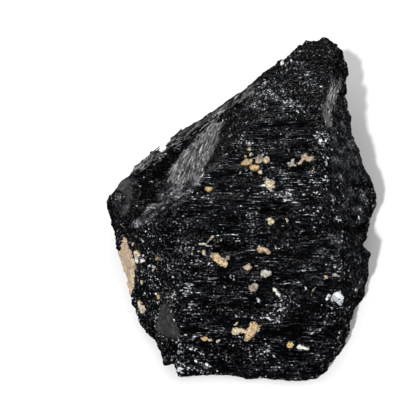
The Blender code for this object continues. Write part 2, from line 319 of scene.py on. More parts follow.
# %% Patches: corners in the picture, of surfaces that the camera sees
SATIN_FACET = [  # split along its fibres, at the upper left
    (223, 122), (221, 131), (214, 150), (205, 168), (200, 187), (193, 180), (182, 185), (168, 183),
    (168, 174), (174, 164), (182, 153), (190, 144), (198, 135), (206, 128), (214, 123),
]
SATIN_STRIP = [  # the same at the upper right, and narrow
    (331, 78), (343, 81), (341, 90), (336, 98), (333, 108), (331, 117), (333, 125), (329, 128),
    (325, 122), (322, 114), (325, 103), (328, 91),
]
CREST = [  # the splintery edge above the satin facet
    (127, 174), (158, 147), (166, 144), (184, 128), (214, 110), (246, 88), (262, 80), (249, 96),
    (213, 117), (185, 135), (158, 157), (135, 175),
]
HOLLOW = [  # in shade between the crest and the satin facet
    (134, 186), (150, 172), (160, 160), (192, 138), (214, 118), (222, 120), (204, 130), (184, 150),
    (166, 178), (154, 196), (140, 208), (128, 214),
]
TIP_FACET = [  # a dull smooth face at the left tip
    (126, 170), (131, 177), (133, 190), (131, 200), (128, 212), (123, 218), (119, 214), (125, 205),
    (125, 198), (121, 192), (114, 191), (108, 194),
]
LOW_FACET = [  # another, low at the left
    (164, 297), (167, 303), (173, 314), (178, 328), (180, 340), (168, 338), (155, 330), (159, 311),
]
RIGHT_FLANK = [  # the steep side at the right
    (336, 122), (356, 122), (360, 148), (366, 166), (368, 182), (352, 184), (338, 186), (338, 150),
]
CRACK = [  # across the right flank
    (318, 221), (330, 222), (345, 226), (356, 227), (368, 223), (368, 230), (354, 234), (340, 231),
    (325, 228), (318, 226),
]
RIDGE = [  # a worn edge from the satin facet to the left tip
    (202, 182), (190, 190), (176, 200), (160, 211), (146, 221), (130, 229), (126, 225), (138, 216),
    (150, 207), (161, 195), (171, 185), (184, 182),
]
# Partly painted sheen: on the steep flanks and the tip a veil stands in for their soft grey
# reflection; along the ridge it is a worn pale edge.
VEILS = [  # how pale a soft grey veil lies over the patch, and the patch
    (2.3, RIDGE),
    (0.45, [(326, 231), (344, 232), (346, 250), (334, 256), (326, 244)]),
    (0.16, [(296, 240), (344, 246), (346, 290), (300, 286)]),
    (1.0, [(331, 125), (338, 126), (339, 150), (340, 165), (336, 182), (335, 198), (331, 198),
           (332, 170), (331, 150)]),
    (0.75, RIGHT_FLANK),
    (0.35, [(338, 94), (352, 96), (356, 122), (335, 122)]),
    (0.38, [(344, 230), (366, 228), (370, 262), (364, 296), (350, 284), (342, 250)]),
    (0.45, [(113, 192), (121, 192), (125, 200), (123, 209), (117, 215), (110, 208)]),
    (0.12, [(104, 196), (112, 192), (112, 214), (124, 222), (112, 224)]),
    (0.55, [(340, 188), (368, 186), (371, 204), (364, 222), (352, 226), (340, 221)]),
]
# Partly painted shade: the hollow, the crack and some long pits are darkened, and the
# front a little, as it faces the key lamp. The other patches are darker stone.
DARK_STONE_AND_PAINTED_SHADE = [  # how black the patch is, and the patch
    (1.0, HOLLOW),
    (1.0, CRACK),
    (0.6, [(188, 283), (216, 283), (218, 304), (186, 304)]),
    (0.9, [(262, 206), (290, 207), (291, 216), (262, 217)]),
    (0.9, [(214, 266), (252, 272), (250, 282), (216, 284)]),
    (0.9, [(286, 170), (310, 169), (309, 176), (286, 177)]),
    (0.8, [(202, 346), (230, 344), (236, 352), (206, 352)]),
    (0.7, [(296, 44), (330, 38), (342, 62), (334, 76), (306, 62)]),
    (0.9, [(222, 122), (234, 118), (224, 142), (208, 176), (203, 172), (214, 150)]),
    (0.9, [(156, 338), (178, 342), (180, 358), (166, 354)]),
    (0.75, [(288, 304), (334, 304), (330, 350), (300, 366), (282, 352)]),
    (0.5, [(254, 122), (318, 120), (318, 132), (254, 134)]),
    (0.6, [(336, 182), (346, 182), (346, 192), (338, 194)]),
    (0.35, [(200, 284), (345, 284), (340, 360), (290, 373), (180, 373), (184, 340)]),
]
print(len(VEILS), "veils and", len(DARK_STONE_AND_PAINTED_SHADE), "dark patches")

# %% Strips: each from one point of the picture to another, with the half width in mm
FROST = [  # along the ridge
    ((190, 186), (172, 194), 1.2), ((172, 196), (152, 212), 1.2),
]
# Painted glints: a pale bloom laid where the stone sparkles in clusters.
PAINTED_GLINT_BLOOM = [  # a thin pale bloom
    ((262, 92), (282, 98), 2.4), ((285, 66), (296, 62), 1.2), ((255, 102), (302, 112), 1.4),
    ((300, 70), (312, 78), 1.6), ((252, 97), (262, 84), 1.6), ((244, 142), (264, 148), 1.4),
    ((320, 136), (330, 152), 1.5), ((284, 180), (318, 184), 1.6), ((184, 345), (196, 358), 1.2),
    ((240, 354), (268, 352), 1.4), ((344, 196), (362, 212), 2.6), ((262, 190), (290, 196), 1.2),
    ((200, 320), (196, 306), 1.0), ((172, 298), (182, 288), 1.2), ((181, 332), (190, 338), 1.0),
    ((266, 319), (284, 304), 1.4), ((244, 95), (262, 82), 1.0),
]
PALE_EDGES = [  # hair-thin bright edges
    ((333, 197), (332, 214), 0.25), ((251, 92), (228, 123), 0.32), ((230, 103), (211, 126), 0.28),
    ((192, 130), (156, 162), 0.28), ((300, 338), (336, 322), 0.3),
]
GRAINY = [  # where the ribs have crumbled
    ((150, 240), (165, 300), 4.6), ((190, 235), (200, 262), 3.0), ((243, 140), (262, 146), 2.0),
    ((320, 120), (327, 215), 2.2), ((190, 350), (260, 352), 2.0), ((352, 284), (348, 312), 1.8),
    ((262, 320), (286, 303), 2.4), ((346, 194), (364, 212), 3.0),
]
# The pits are darkened with painted shade, and the relief sinks them too.
PITS = [  # short, dark and deep
    ((263, 212), (288, 212), 0.75), ((216, 249), (247, 246), 0.6), ((289, 169), (308, 168), 0.6),
    ((246, 343), (262, 342), 0.5), ((238, 322), (254, 322), 0.5), ((206, 303), (222, 300), 0.5),
    ((328, 226), (352, 229), 0.8), ((352, 229), (366, 226), 0.8),
]
MICA = [  # nests of flakes
    ((150, 240), (165, 330), 4.0), ((338, 291), (337, 304), 1.0), ((176, 350), (190, 370), 1.8),
    ((262, 92), (284, 98), 2.6), ((255, 104), (302, 113), 1.6), ((322, 136), (326, 180), 1.0),
    ((244, 140), (262, 150), 1.4), ((190, 255), (206, 290), 2.0), ((270, 300), (290, 312), 1.6),
]
PALE_STRIPS = [  # how pale, the strips, and how ragged their edges are in mm
    (0.9, FROST, 1.2),
    (0.14, PAINTED_GLINT_BLOOM, 2.4),
    (0.5, PALE_EDGES, 0.15),
]
print(sum(len(strips) for _, strips, _ in PALE_STRIPS), "pale strips and", len(PITS), "pits")

# %% How a mask is made
SKIN_DEPTH = 1.0 * MM  # a point this far behind the skin still counts as seen
STRIP_FADE = (0.55, 1.15)  # half widths from the middle: a strip fades out between these
PATCH_FADE = (-0.2, 0.5)  # mm inside the outline: a patch fades in between these


def strip_mask(strips, rag):
    """1 inside any of the strips and 0 outside, with edges that wander by about this many mm."""
    wander = rag * raggedness
    mask = np.zeros(len(points))
    for start, end, half_width in strips:
        a, b = (np.array(touched(*spot)[0]) / MM for spot in (start, end))
        share = np.clip((points - a) @ (b - a) / max((b - a) @ (b - a), 1e-9), 0.0, 1.0)
        away = np.linalg.norm(points - a - share[:, None] * (b - a), axis=1) + wander
        full, gone = (share * half_width for share in STRIP_FADE)
        mask = np.maximum(mask, 1.0 - ramp(away, full, gone))
    return mask


def in_picture():
    """Where every point shows in the picture, and whether the camera sees it: (places, seen)."""
    seen = np.zeros(len(points))
    for index, point in enumerate(points):
        ray = Vector(point) * MM - CAMERA_AT
        place, _normal, _face, distance = skin_tree.ray_cast(CAMERA_AT, ray)
        seen[index] = place is None or distance > ray.length - SKIN_DEPTH
    return pictured(points), seen


def depth_inside(places, corners):
    """How far in the picture each place lies inside an outline. Outside it is negative."""
    corners = np.array(corners, dtype=float)
    away = np.full(len(places), np.inf)
    inside = np.zeros(len(places), dtype=bool)
    for a, b in zip(corners, np.roll(corners, -1, axis=0)):
        share = np.clip((places - a) @ (b - a) / ((b - a) @ (b - a)), 0.0, 1.0)
        away = np.minimum(away, np.linalg.norm(places - a - share[:, None] * (b - a), axis=1))
        spans = (a[1] > places[:, 1]) != (b[1] > places[:, 1])
        crossing = a[0] + (places[:, 1] - a[1]) * (b[0] - a[0]) / (b[1] - a[1] + 1e-9)
        inside ^= spans & (places[:, 0] < crossing)
    return np.where(inside, away, -away)


def patch_mask(patches, rag):
    """Each patch's strength where the camera sees it, with edges that wander like a strip's."""
    wander = rag * raggedness
    mask = np.zeros(len(points))
    for strength, corners in patches:
        depth = depth_inside(picture, corners) / PX_PER_MM + wander
        mask = np.maximum(mask, strength * ramp(depth, *PATCH_FADE))
    return mask * spread(seen, 2)


picture, seen = in_picture()
print(f"the camera sees {100 * seen.mean():.0f}% of the points")

# %% The masks
SUMMIT = (11.5, 15.5)  # y in mm at x = 0: the striations end here, and the rough summit starts
SUMMIT_SLANT = 0.43  # how much lower that is with each step to the right
SIDEWAYS = (0.20, 0.42)  # a face that looks this much left or right isn't striated any more
DOWNWARDS = (-0.05, 0.1)  # nor is one that looks down
BANDS = (0.02, 0.40)  # from here up in the noise, a band along the ribs has crumbled
BROAD_ROUNDS = 40  # of averaging: they leave the way a whole face looks
THINLY_SPREAD = 0.12  # flakes of mica lie outside the nests too


def striated_mask():
    """1 on the crystal faces and 0 on the breaks and the summit."""
    broad = np.stack([spread(normals[:, axis], BROAD_ROUNDS) for axis in range(3)], axis=1)
    up_slope = points[:, 1] + SUMMIT_SLANT * points[:, 0] + 1.5 * wavering(4.0, 5.0)
    mask = 1.0 - ramp(np.abs(broad[:, 0]) + 0.10 * wavering(3.0, 1.0), *SIDEWAYS)
    mask *= ramp(broad[:, 2], *DOWNWARDS)
    return mask * (1.0 - ramp(up_slope, *SUMMIT))


def crumbly_mask():
    """1 where the ribs have crumbled: in bands along the crystal and in the grainy strips."""
    bands = wavering_along(2.2, 5.0, 11.0) + 0.55 * wavering_along(0.9, 3.0, 13.0)
    return np.maximum(ramp(bands, *BANDS), strip_mask(GRAINY, rag=1.6))


masks = {
    "striated": striated_mask(),
    "crumbly": crumbly_mask(),
    "fibrous": patch_mask([(1.0, SATIN_FACET), (0.7, SATIN_STRIP)], rag=0.5),
    "ledged": patch_mask([(1.0, CREST)], rag=0.4),
    "smooth": patch_mask([(1.0, TIP_FACET), (1.0, LOW_FACET)], rag=0.3),
    "veil": patch_mask(VEILS, rag=0.9),
    # dark: partly painted shade in the hollow, the crack and the pits, partly darker stone
    "dark": np.maximum(patch_mask(DARK_STONE_AND_PAINTED_SHADE, rag=0.5), strip_mask(PITS, rag=0.25)),
    # frost along the ridge, painted glints over the sparkle, and bright edges
    "frost_and_glints": np.maximum.reduce([pale * strip_mask(strips, rag) for pale, strips, rag in PALE_STRIPS]),
    "pit": np.maximum(patch_mask([(1.0, CRACK)], rag=0.2), strip_mask(PITS, rag=0.25)),
    "mica": np.clip(strip_mask(MICA, rag=1.6) + THINLY_SPREAD, 0.0, 1.0),
}
veiled = 0.7 * np.clip(3.0 * masks["veil"], 0.0, 1.0)
masks["mica"] *= 1.0 - np.maximum.reduce([masks["smooth"], masks["fibrous"], masks["dark"], veiled])
for name, values in masks.items():
    fine.attributes.new(name, "FLOAT", "POINT").data.foreach_set("value", values.astype(np.float32))
    print(f"{name} covers {100 * values.mean():.0f}% of the points")

# %% [markdown]
# ## Small tools for node trees
# Geometry and material trees are built by the same helpers. One adds a node and fills its
# sockets with numbers or links. The others add the sums and the patterns that both kinds of tree
# use, so that a pattern in the relief and one in a material's bump can be the same.

# %% Small tools for node trees
def add(tree, kind, inputs=None, **settings):
    """Adds a node. An input is a number, a vector, or another node's output to link."""
    made = tree.nodes.new(kind)
    for key, value in settings.items():
        setattr(made, key, value)
    for key, value in (inputs or {}).items():
        if isinstance(value, bpy.types.NodeSocket):
            tree.links.new(value, made.inputs[key])
        else:
            made.inputs[key].default_value = value
    return made


def maths(tree, operation, a, b=0.0, c=0.0):
    """The result of a Math node."""
    return add(tree, "ShaderNodeMath", {0: a, 1: b, 2: c}, operation=operation).outputs[0]


def vector_maths(tree, operation, a, b, output="Vector"):
    """The result of a Vector Math node."""
    return add(tree, "ShaderNodeVectorMath", {0: a, 1: b}, operation=operation).outputs[output]


def scaled(tree, vector, times):
    """The vector or colour, made this many times larger."""
    made = add(tree, "ShaderNodeVectorMath", {0: vector, "Scale": times}, operation="SCALE")
    return made.outputs["Vector"]


def mapped(tree, value, low, high, least=0.0):
    """The least value up to low, 1 from high on, and a straight change between them."""
    sockets = {"Value": value, "From Min": low, "From Max": high, "To Min": least}
    return add(tree, "ShaderNodeMapRange", sockets).outputs[0]


def drawn_out(tree, vector, along, times):
    """The vector with its part along a direction made this many times smaller, so that any
    texture read with it is that many times longer in that direction."""
    share = vector_maths(tree, "DOT_PRODUCT", vector, along, "Value")
    squeeze = maths(tree, "MULTIPLY", share, -(1.0 - 1.0 / times))
    return vector_maths(tree, "ADD", vector, scaled(tree, along, squeeze))


def facets(tree, vector, size):
    """Cells of this size whose tops are flat and lean each its own way: (height, random shade).
    The height is in the vector's unit."""
    scale = maths(tree, "DIVIDE", 1.0, size)
    cells = add(tree, "ShaderNodeTexVoronoi", {"Vector": vector, "Scale": scale})
    from_middle = vector_maths(tree, "SUBTRACT", vector, cells.outputs["Position"])
    lean = vector_maths(tree, "SUBTRACT", cells.outputs["Color"], (0.5, 0.5, 0.5))
    height = vector_maths(tree, "DOT_PRODUCT", from_middle, lean, "Value")
    shade = add(tree, "ShaderNodeSeparateXYZ", {0: cells.outputs["Color"]}).outputs["X"]
    return height, shade


def centred_noise(tree, vector, size, detail=2.0):
    """Noise from -1 to 1 with features of this size."""
    scale = maths(tree, "DIVIDE", 1.0, size)
    made = add(tree, "ShaderNodeTexNoise", {"Vector": vector, "Scale": scale, "Detail": detail})
    return maths(tree, "MULTIPLY_ADD", made.outputs["Fac"], 2.0, -1.0)


def mixed(tree, share, a, b):
    """a where the share is 0, b where it is 1."""
    return add(tree, "ShaderNodeMix", {"Factor": share, "A": a, "B": b}).outputs["Result"]


# %% The ways in which the crystal is drawn out
def way_between(low, high):
    """The direction from one place of the picture to another, on the surface."""
    return tuple((touched(*high)[0] - touched(*low)[0]).normalized())


CRYSTAL_AXIS = (1.0, 0.0, 0.0)
FIBRE_AXIS = way_between((190, 186), (214, 130))
LEDGE_AXIS = way_between((140, 172), (208, 120))
BEND_SIZE = 2.6  # mm
BEND = 0.5  # mm, at the very most


def wavy_place(tree, vector):
    """The place, pushed to and fro by a fraction of a millimetre, which bends straight streaks."""
    push = maths(tree, "MULTIPLY", centred_noise(tree, vector, BEND_SIZE, 1.0), BEND)
    aside = add(tree, "ShaderNodeCombineXYZ", {"X": push, "Y": push}).outputs[0]
    return vector_maths(tree, "ADD", vector, aside)


print("the satin facet's fibres run along", [round(x, 2) for x in FIBRE_AXIS])
print("the crest's ledges run along", [round(x, 2) for x in LEDGE_AXIS])

# %% [markdown]
# ## The relief
# The ribs, needles and grains are the same everywhere on their own kind of surface, so a
# Geometry Nodes tree makes them all: it works out one height for each kind, mixes them by the
# masks, and moves each point along its normal. Needles are long Voronoi cells that each stand a
# little higher or lower. A rough break is made of small facets that lean in all directions.

# %% Sizes of the relief
RELIEF_INPUTS = {  # in mm, apart from the seed
    "Needle Width": 0.85,
    "Needle Step": 0.16,
    "Line Width": 0.42,
    "Line Height": 0.10,
    "Chip Size": 1.5,
    "Chip Height": 0.34,
    "Grain Size": 0.62,
    "Grain Height": 0.40,
    "Swell Size": 3.0,
    "Swell Height": 0.16,
    "Fibre Width": 0.55,
    "Fibre Height": 0.14,
    "Plate Width": 1.5,
    "Plate Step": 0.8,
    "Shell Size": 4.0,
    "Shell Height": 0.10,
    "Pit Depth": 0.55,
    "Foot Height": 1.5,
    "Seed": 4.0,
}
RAISED_BY = ("striated", "crumbly", "fibrous", "ledged", "smooth", "pit")
COLOURED_BY = ("striated", "crumbly", "fibrous", "ledged", "smooth", "frost_and_glints", "veil", "dark")
NEEDLE_TIMES = 8.0  # how many times longer than wide
FIBRE_TIMES = 9.0
PLATE_TIMES = 7.0
print("the relief has", len(RELIEF_INPUTS), "values to set and", len(RAISED_BY), "masks")


# %% Tools for Geometry Nodes
def geometry_tree(name, inputs, vectors=()):
    """An empty Geometry Nodes tree with these inputs: (tree, its input sockets)."""
    tree = bpy.data.node_groups.new(name, "GeometryNodeTree")
    tree.interface.new_socket("Geometry", in_out="INPUT", socket_type="NodeSocketGeometry")
    for title, value in inputs.items():
        socket = tree.interface.new_socket(title, in_out="INPUT", socket_type="NodeSocketFloat")
        socket.default_value = value
    for title in vectors:
        tree.interface.new_socket(title, in_out="INPUT", socket_type="NodeSocketVector")
    tree.interface.new_socket("Geometry", in_out="OUTPUT", socket_type="NodeSocketGeometry")
    return tree, add(tree, "NodeGroupInput").outputs


def named(tree, name, data_type="FLOAT"):
    """The value of a named attribute."""
    made = add(tree, "GeometryNodeInputNamedAttribute", {"Name": name}, data_type=data_type)
    return made.outputs["Attribute"]


def finish_tree(tree, geometry, material):
    """Ends a tree: smooth, with every instance a real mesh, in its material."""
    smooth = add(tree, "GeometryNodeSetShadeSmooth", {"Geometry": geometry})
    real = add(tree, "GeometryNodeRealizeInstances", {"Geometry": smooth.outputs[0]})
    coated = add(tree, "GeometryNodeSetMaterial", {"Geometry": real.outputs[0], "Material": material})
    add(tree, "NodeGroupOutput", {0: coated.outputs[0]})


def grown(name, mesh, tree, values=None):
    """Runs a Geometry Nodes tree on the mesh and gives the result back as a plain object."""
    values = values or {}
    carrier = bpy.data.objects.new(name + "_carrier", mesh)
    bpy.context.scene.collection.objects.link(carrier)
    modifier = carrier.modifiers.new("nodes", "NODES")
    modifier.node_group = tree
    for item in tree.interface.items_tree:
        if item.in_out == "INPUT" and item.name in values:
            modifier[item.identifier] = values[item.name]
    evaluated = carrier.evaluated_get(bpy.context.evaluated_depsgraph_get())
    result = bpy.data.meshes.new_from_object(evaluated)
    result.name = name
    carrier.modifiers.remove(modifier)
    bpy.data.objects.remove(carrier)
    made = bpy.data.objects.new(name, result)
    bpy.context.scene.collection.objects.link(made)
    print(f"{name} has {len(result.polygons)} faces")
    return made


# %% The relief
def terrace(tree, vector, size):
    """Cells of this size at random levels, from -0.5 to 0.5."""
    return maths(tree, "SUBTRACT", facets(tree, vector, size)[1], 0.5)


def noisy(tree, vector, size, height, detail):
    """Noise with features of this size, up to this high and as much deep."""
    return maths(tree, "MULTIPLY", centred_noise(tree, vector, size, detail), height)


def plus(tree, heights, pattern, height):
    """The heights, with a pattern of this height added."""
    return maths(tree, "MULTIPLY_ADD", pattern, height, heights)


def relief_heights(tree, given, here):
    """The height in mm of each kind of surface, by name."""
    along = drawn_out(tree, here, CRYSTAL_AXIS, NEEDLE_TIMES)
    needles = maths(
        tree, "MULTIPLY", terrace(tree, along, given["Needle Width"]), given["Needle Step"]
    )
    lines = centred_noise(tree, along, given["Line Width"], 3.0)
    needles = plus(tree, needles, lines, given["Line Height"])

    chips = facets(tree, here, given["Chip Size"])[0]
    grains = facets(tree, here, given["Grain Size"])[0]
    swells = centred_noise(tree, here, given["Swell Size"], 3.0)
    rough = maths(tree, "MULTIPLY", chips, given["Chip Height"])
    rough = plus(tree, rough, grains, given["Grain Height"])
    rough = plus(tree, rough, swells, given["Swell Height"])

    wavy = wavy_place(tree, here)
    width, step = given["Fibre Width"], given["Fibre Height"]
    fibres, ledges = (
        noisy(tree, drawn_out(tree, wavy, axis, FIBRE_TIMES), width, step, 3.0)
        for axis in (FIBRE_AXIS, LEDGE_AXIS)
    )
    plates = terrace(tree, drawn_out(tree, wavy, LEDGE_AXIS, PLATE_TIMES), given["Plate Width"])
    return {
        "rough": rough,
        "needles": needles,
        "crumbs": plus(tree, needles, grains, given["Grain Height"]),
        "fibres": fibres,
        "ledges": plus(tree, ledges, plates, given["Plate Step"]),
        "shell": noisy(tree, here, given["Shell Size"], given["Shell Height"], 1.0),
    }


def relief_tree(material):
    """The tree that raises and lowers a mesh by the relief of its masks."""
    tree, given = geometry_tree("relief", RELIEF_INPUTS, ("Box Low", "Box High"))
    mask = {name: named(tree, name) for name in RAISED_BY}
    place = add(tree, "GeometryNodeInputPosition").outputs[0]
    normal = add(tree, "GeometryNodeInputNormal").outputs[0]
    seed = add(tree, "ShaderNodeCombineXYZ", {"X": given["Seed"], "Y": given["Seed"]}).outputs[0]
    in_mm = scaled(tree, place, 1.0 / MM)
    kinds = relief_heights(tree, given, vector_maths(tree, "ADD", in_mm, seed))

    needles = mixed(tree, mask["crumbly"], kinds["needles"], kinds["crumbs"])
    height = mixed(tree, mask["striated"], kinds["rough"], needles)
    height = mixed(tree, mask["fibrous"], height, kinds["fibres"])
    height = mixed(tree, mask["ledged"], height, kinds["ledges"])
    height = mixed(tree, mask["smooth"], height, kinds["shell"])
    depth = maths(tree, "MULTIPLY", given["Pit Depth"], -1.0)
    height = plus(tree, height, mask["pit"], depth)
    low = add(tree, "ShaderNodeSeparateXYZ", {0: in_mm}).outputs["Z"]
    calm = add(tree, "ShaderNodeClamp", {"Value": maths(tree, "DIVIDE", low, given["Foot Height"])})
    height = maths(tree, "MULTIPLY", height, calm.outputs[0])

    rise = scaled(tree, normal, maths(tree, "MULTIPLY", height, MM))
    moved = vector_maths(tree, "ADD", place, rise)
    moved = vector_maths(tree, "MAXIMUM", moved, given["Box Low"])
    moved = vector_maths(tree, "MINIMUM", moved, given["Box High"])
    above = maths(tree, "GREATER_THAN", low, ON_BASE / MM)
    set_place = add(
        tree, "GeometryNodeSetPosition",
        {"Geometry": given["Geometry"], "Selection": above, "Position": moved},
    )
    finish_tree(tree, set_place.outputs[0], material)
    return tree


relief_values = {
    "Box Low": Vector(cad_box[0]) + Vector((MARGIN, MARGIN, 0.0)),
    "Box High": Vector(cad_box[1]) - Vector((MARGIN, MARGIN, MARGIN)),
}

# %% [markdown]
# ## Black tourmaline
# Schorl is black all through, so its colour hardly varies. What varies is its lustre: glassy on
# the ribs, broken into tiny mirrors on the rough faces, satin grey where the crystal split into
# fibres. Much of that lustre is painted into the colour: the pale lines and specks are partly
# crumbs and partly painted glints, the satin grey is partly a painted sheen, the grey veils on
# the flanks are painted sheen, and dark patches are partly painted shade. The relief below the
# mesh's own size is bump, read in millimetres from the same object coordinates, so the two
# join up.

# %% Tools for materials
def new_material(name):
    """A material with its Principled shader as it comes: (material, tree, shader)."""
    made = bpy.data.materials.new(name)
    made.use_nodes = True
    return made, made.node_tree, made.node_tree.nodes["Principled BSDF"]


def here_in_mm(tree):
    """The object coordinates in millimetres."""
    return scaled(tree, add(tree, "ShaderNodeTexCoord").outputs["Object"], 1.0 / MM)


def attribute(tree, name):
    """The value that the mesh has here under this name."""
    return add(tree, "ShaderNodeAttribute", attribute_name=name).outputs["Fac"]


def colour_mix(tree, share, a, b):
    """One colour where the share is 0, the other where it is 1."""
    made = add(tree, "ShaderNodeMix", data_type="RGBA")  # its colour sockets are 6, 7 and out 2
    for index, value in ((0, share), (6, a), (7, b)):
        if isinstance(value, bpy.types.NodeSocket):
            tree.links.new(value, made.inputs[index])
        else:
            made.inputs[index].default_value = value
    return made.outputs[2]


def bumped(tree, shader, height, times=1.0):
    """Gives the shader a bump: this height in mm, made this many times larger."""
    in_m = maths(tree, "MULTIPLY", height, times * MM)
    bump = add(tree, "ShaderNodeBump", {"Height": in_m, "Distance": 1.0})
    tree.links.new(bump.outputs["Normal"], shader.inputs["Normal"])


def shader_group(name, inputs, outputs):
    """An empty shader node group with these sockets, and its input sockets: (group, inputs)."""
    group = bpy.data.node_groups.new(name, "ShaderNodeTree")
    for title, value in inputs.items():
        kind = "NodeSocketVector" if value is None else "NodeSocketFloat"
        socket = group.interface.new_socket(title, in_out="INPUT", socket_type=kind)
        if value is not None:
            socket.default_value = value
    for title in outputs:
        group.interface.new_socket(title, in_out="OUTPUT", socket_type="NodeSocketFloat")
    return group, add(group, "NodeGroupInput").outputs


def placed(tree, group, **values):
    """Places a group in a material with its own values, and gives its outputs."""
    sockets = {title.title(): value for title, value in values.items()}
    return add(tree, "ShaderNodeGroup", sockets, node_tree=group).outputs


# %% Mirrors and specks, which every material uses
def make_mirrors():
    """Tiny flat mirrors that lean each its own way, as a height in mm and a random shade."""
    group, given = shader_group("broken_mirrors", {"Vector": None, "Size": 0.4}, ("Height", "Shade"))
    height, shade = facets(group, given["Vector"], given["Size"])
    add(group, "NodeGroupOutput", {"Height": height, "Shade": shade})
    return group


def make_specks():
    """Specks: a brightness that is often under 1 and now and then far above it."""
    group, given = shader_group("specks", {"Vector": None, "Size": 0.3, "Contrast": 8.0}, ("Amount",))
    grit = centred_noise(group, given["Vector"], given["Size"], 1.0)
    amount = maths(group, "EXPONENT", maths(group, "MULTIPLY", grit, given["Contrast"]))
    add(group, "NodeGroupOutput", {"Amount": amount})
    return group


MIRRORS = make_mirrors()
SPECKS = make_specks()


def specks(tree, vector, size, contrast):
    """Specks of this size, as a brightness."""
    return placed(tree, SPECKS, vector=vector, size=size, contrast=contrast)["Amount"]


print("the materials share", MIRRORS.name, "and", SPECKS.name)

# %% Sizes and shades of the tourmaline
LINE_SIZE, MIRROR_SIZE, SPARK_SIZE, FIBRE_SIZE, RIPPLE_SIZE = 0.22, 0.42, 0.27, 0.32, 1.2  # mm
LINE_HEIGHT, FIBRE_HEIGHT, RIPPLE_HEIGHT = 0.05, 0.10, 0.02  # mm, all of it bump
# The blackest is for painted shade in the hollow, the crack and the pits, and for darker stone.
BLACK_RIB, BLACK_GRAIN, BLACKEST = 0.0013, 0.0014, 0.0003  # how much bare stone reflects
# Pale greys: of the frost and the painted glints, and of the veils, partly a painted sheen.
GREY_FROST_AND_GLINTS, GREY_VEIL = 0.045, 0.030
BRIGHTEST = 0.7  # no speck reflects more
# The higher a contrast, the fewer and the brighter its specks.
RIB_CONTRAST, GRAIN_CONTRAST, CALM_CONTRAST = 5.5, 11.0, 3.6
RIB_LINES, CRUMBLY_LINES, BROKEN_LINES = 8.5, 4.5, 1.5
COOL = (0.88, 1.0, 1.30, 1.0)  # tint of the darkest specks
NEUTRAL = (1.0, 1.0, 1.03, 1.0)  # tint of the palest
WHITENING = 14.0  # the higher, the sooner a brighter spot is neutral
DULL = (0.032, 0.032, 0.033)  # the smooth facets
# Both satin greys are partly a painted sheen: the soft lustre of split fibres and ledges.
SATINS = {  # where the streaks turn from dark to pale, and those two greys
    "fibrous": (-0.34, 0.40, 0.012, 0.36),
    "ledged": (0.0, 0.26, 0.002, 0.13),
}
GLASSY, SATIN_SMOOTH, SILKY = 0.22, 0.45, 0.55  # roughness
SCHORL_IOR = 1.64
WORN_GLOSS = 0.3  # its skin mirrors less than a clean polish would
print("the black stone has", len(SATINS), "kinds of satin and reflects", BLACK_RIB, "on a rib")


# %% Patterns in the tourmaline
def satin_grey(tree, streaks, low, high, darkest, palest):
    """Streaks of grey, partly a painted sheen: the darkest up to low, the palest from high on."""
    dark, pale = (darkest, darkest, darkest, 1.0), (palest, palest, 1.02 * palest, 1.0)
    return colour_mix(tree, mapped(tree, streaks, low, high), dark, pale)


def finest_relief(tree, here, mask, grit, fibres, ledges):
    """The height in mm of what is finer than the mesh: lines, grit, fibres or ripples."""
    lines = centred_noise(tree, drawn_out(tree, here, CRYSTAL_AXIS, 12.0), LINE_SIZE, 3.0)
    ripples = centred_noise(tree, here, RIPPLE_SIZE, 2.0)
    height = mixed(tree, mask["grainy"], maths(tree, "MULTIPLY", lines, LINE_HEIGHT), grit)
    for kind, pattern, most in (
        ("fibrous", fibres, FIBRE_HEIGHT),
        ("ledged", ledges, FIBRE_HEIGHT),
        ("smooth", ripples, RIPPLE_HEIGHT),
    ):
        height = mixed(tree, mask[kind], height, maths(tree, "MULTIPLY", pattern, most))
    return height


def glints(tree, here, mask):
    """How bright the stone is where neither satin nor dull: dark, with lines and specks, partly
    crumbs, partly painted glints.
    """
    contrast = mixed(tree, mask["grainy"], RIB_CONTRAST, GRAIN_CONTRAST)
    contrast = mixed(tree, mask["calm"], contrast, CALM_CONTRAST)
    ribbed = mixed(tree, mask["crumbly"], RIB_LINES, CRUMBLY_LINES)
    line_contrast = mixed(tree, mask["striated"], BROKEN_LINES, ribbed)
    line_contrast = mixed(tree, mask["calm"], line_contrast, BROKEN_LINES)
    # lines along the ribs and specks: partly crumbs, partly painted glints
    lined = specks(tree, drawn_out(tree, here, CRYSTAL_AXIS, 9.0), 0.23, line_contrast)
    crumbs_and_glints = specks(tree, here, 0.42, contrast)
    patchy = specks(tree, drawn_out(tree, here, CRYSTAL_AXIS, 2.5), 1.8, 4.0)
    amount = maths(tree, "MULTIPLY", maths(tree, "MULTIPLY", lined, crumbs_and_glints), patchy)
    base = mixed(tree, mask["grainy"], BLACK_RIB, BLACK_GRAIN)
    # frost, and painted glints where the stone sparkles
    base = mixed(tree, mask["frost_and_glints"], base, GREY_FROST_AND_GLINTS)
    # a soft grey veil: painted sheen on the flanks, a worn pale edge along the ridge
    base = mixed(tree, mask["calm"], base, maths(tree, "MULTIPLY", mask["veil"], GREY_VEIL))
    # painted shade and darker stone, where the dark mask lies
    base = mixed(tree, mask["dark"], base, BLACKEST)
    return maths(tree, "MINIMUM", maths(tree, "MULTIPLY", amount, base), BRIGHTEST)


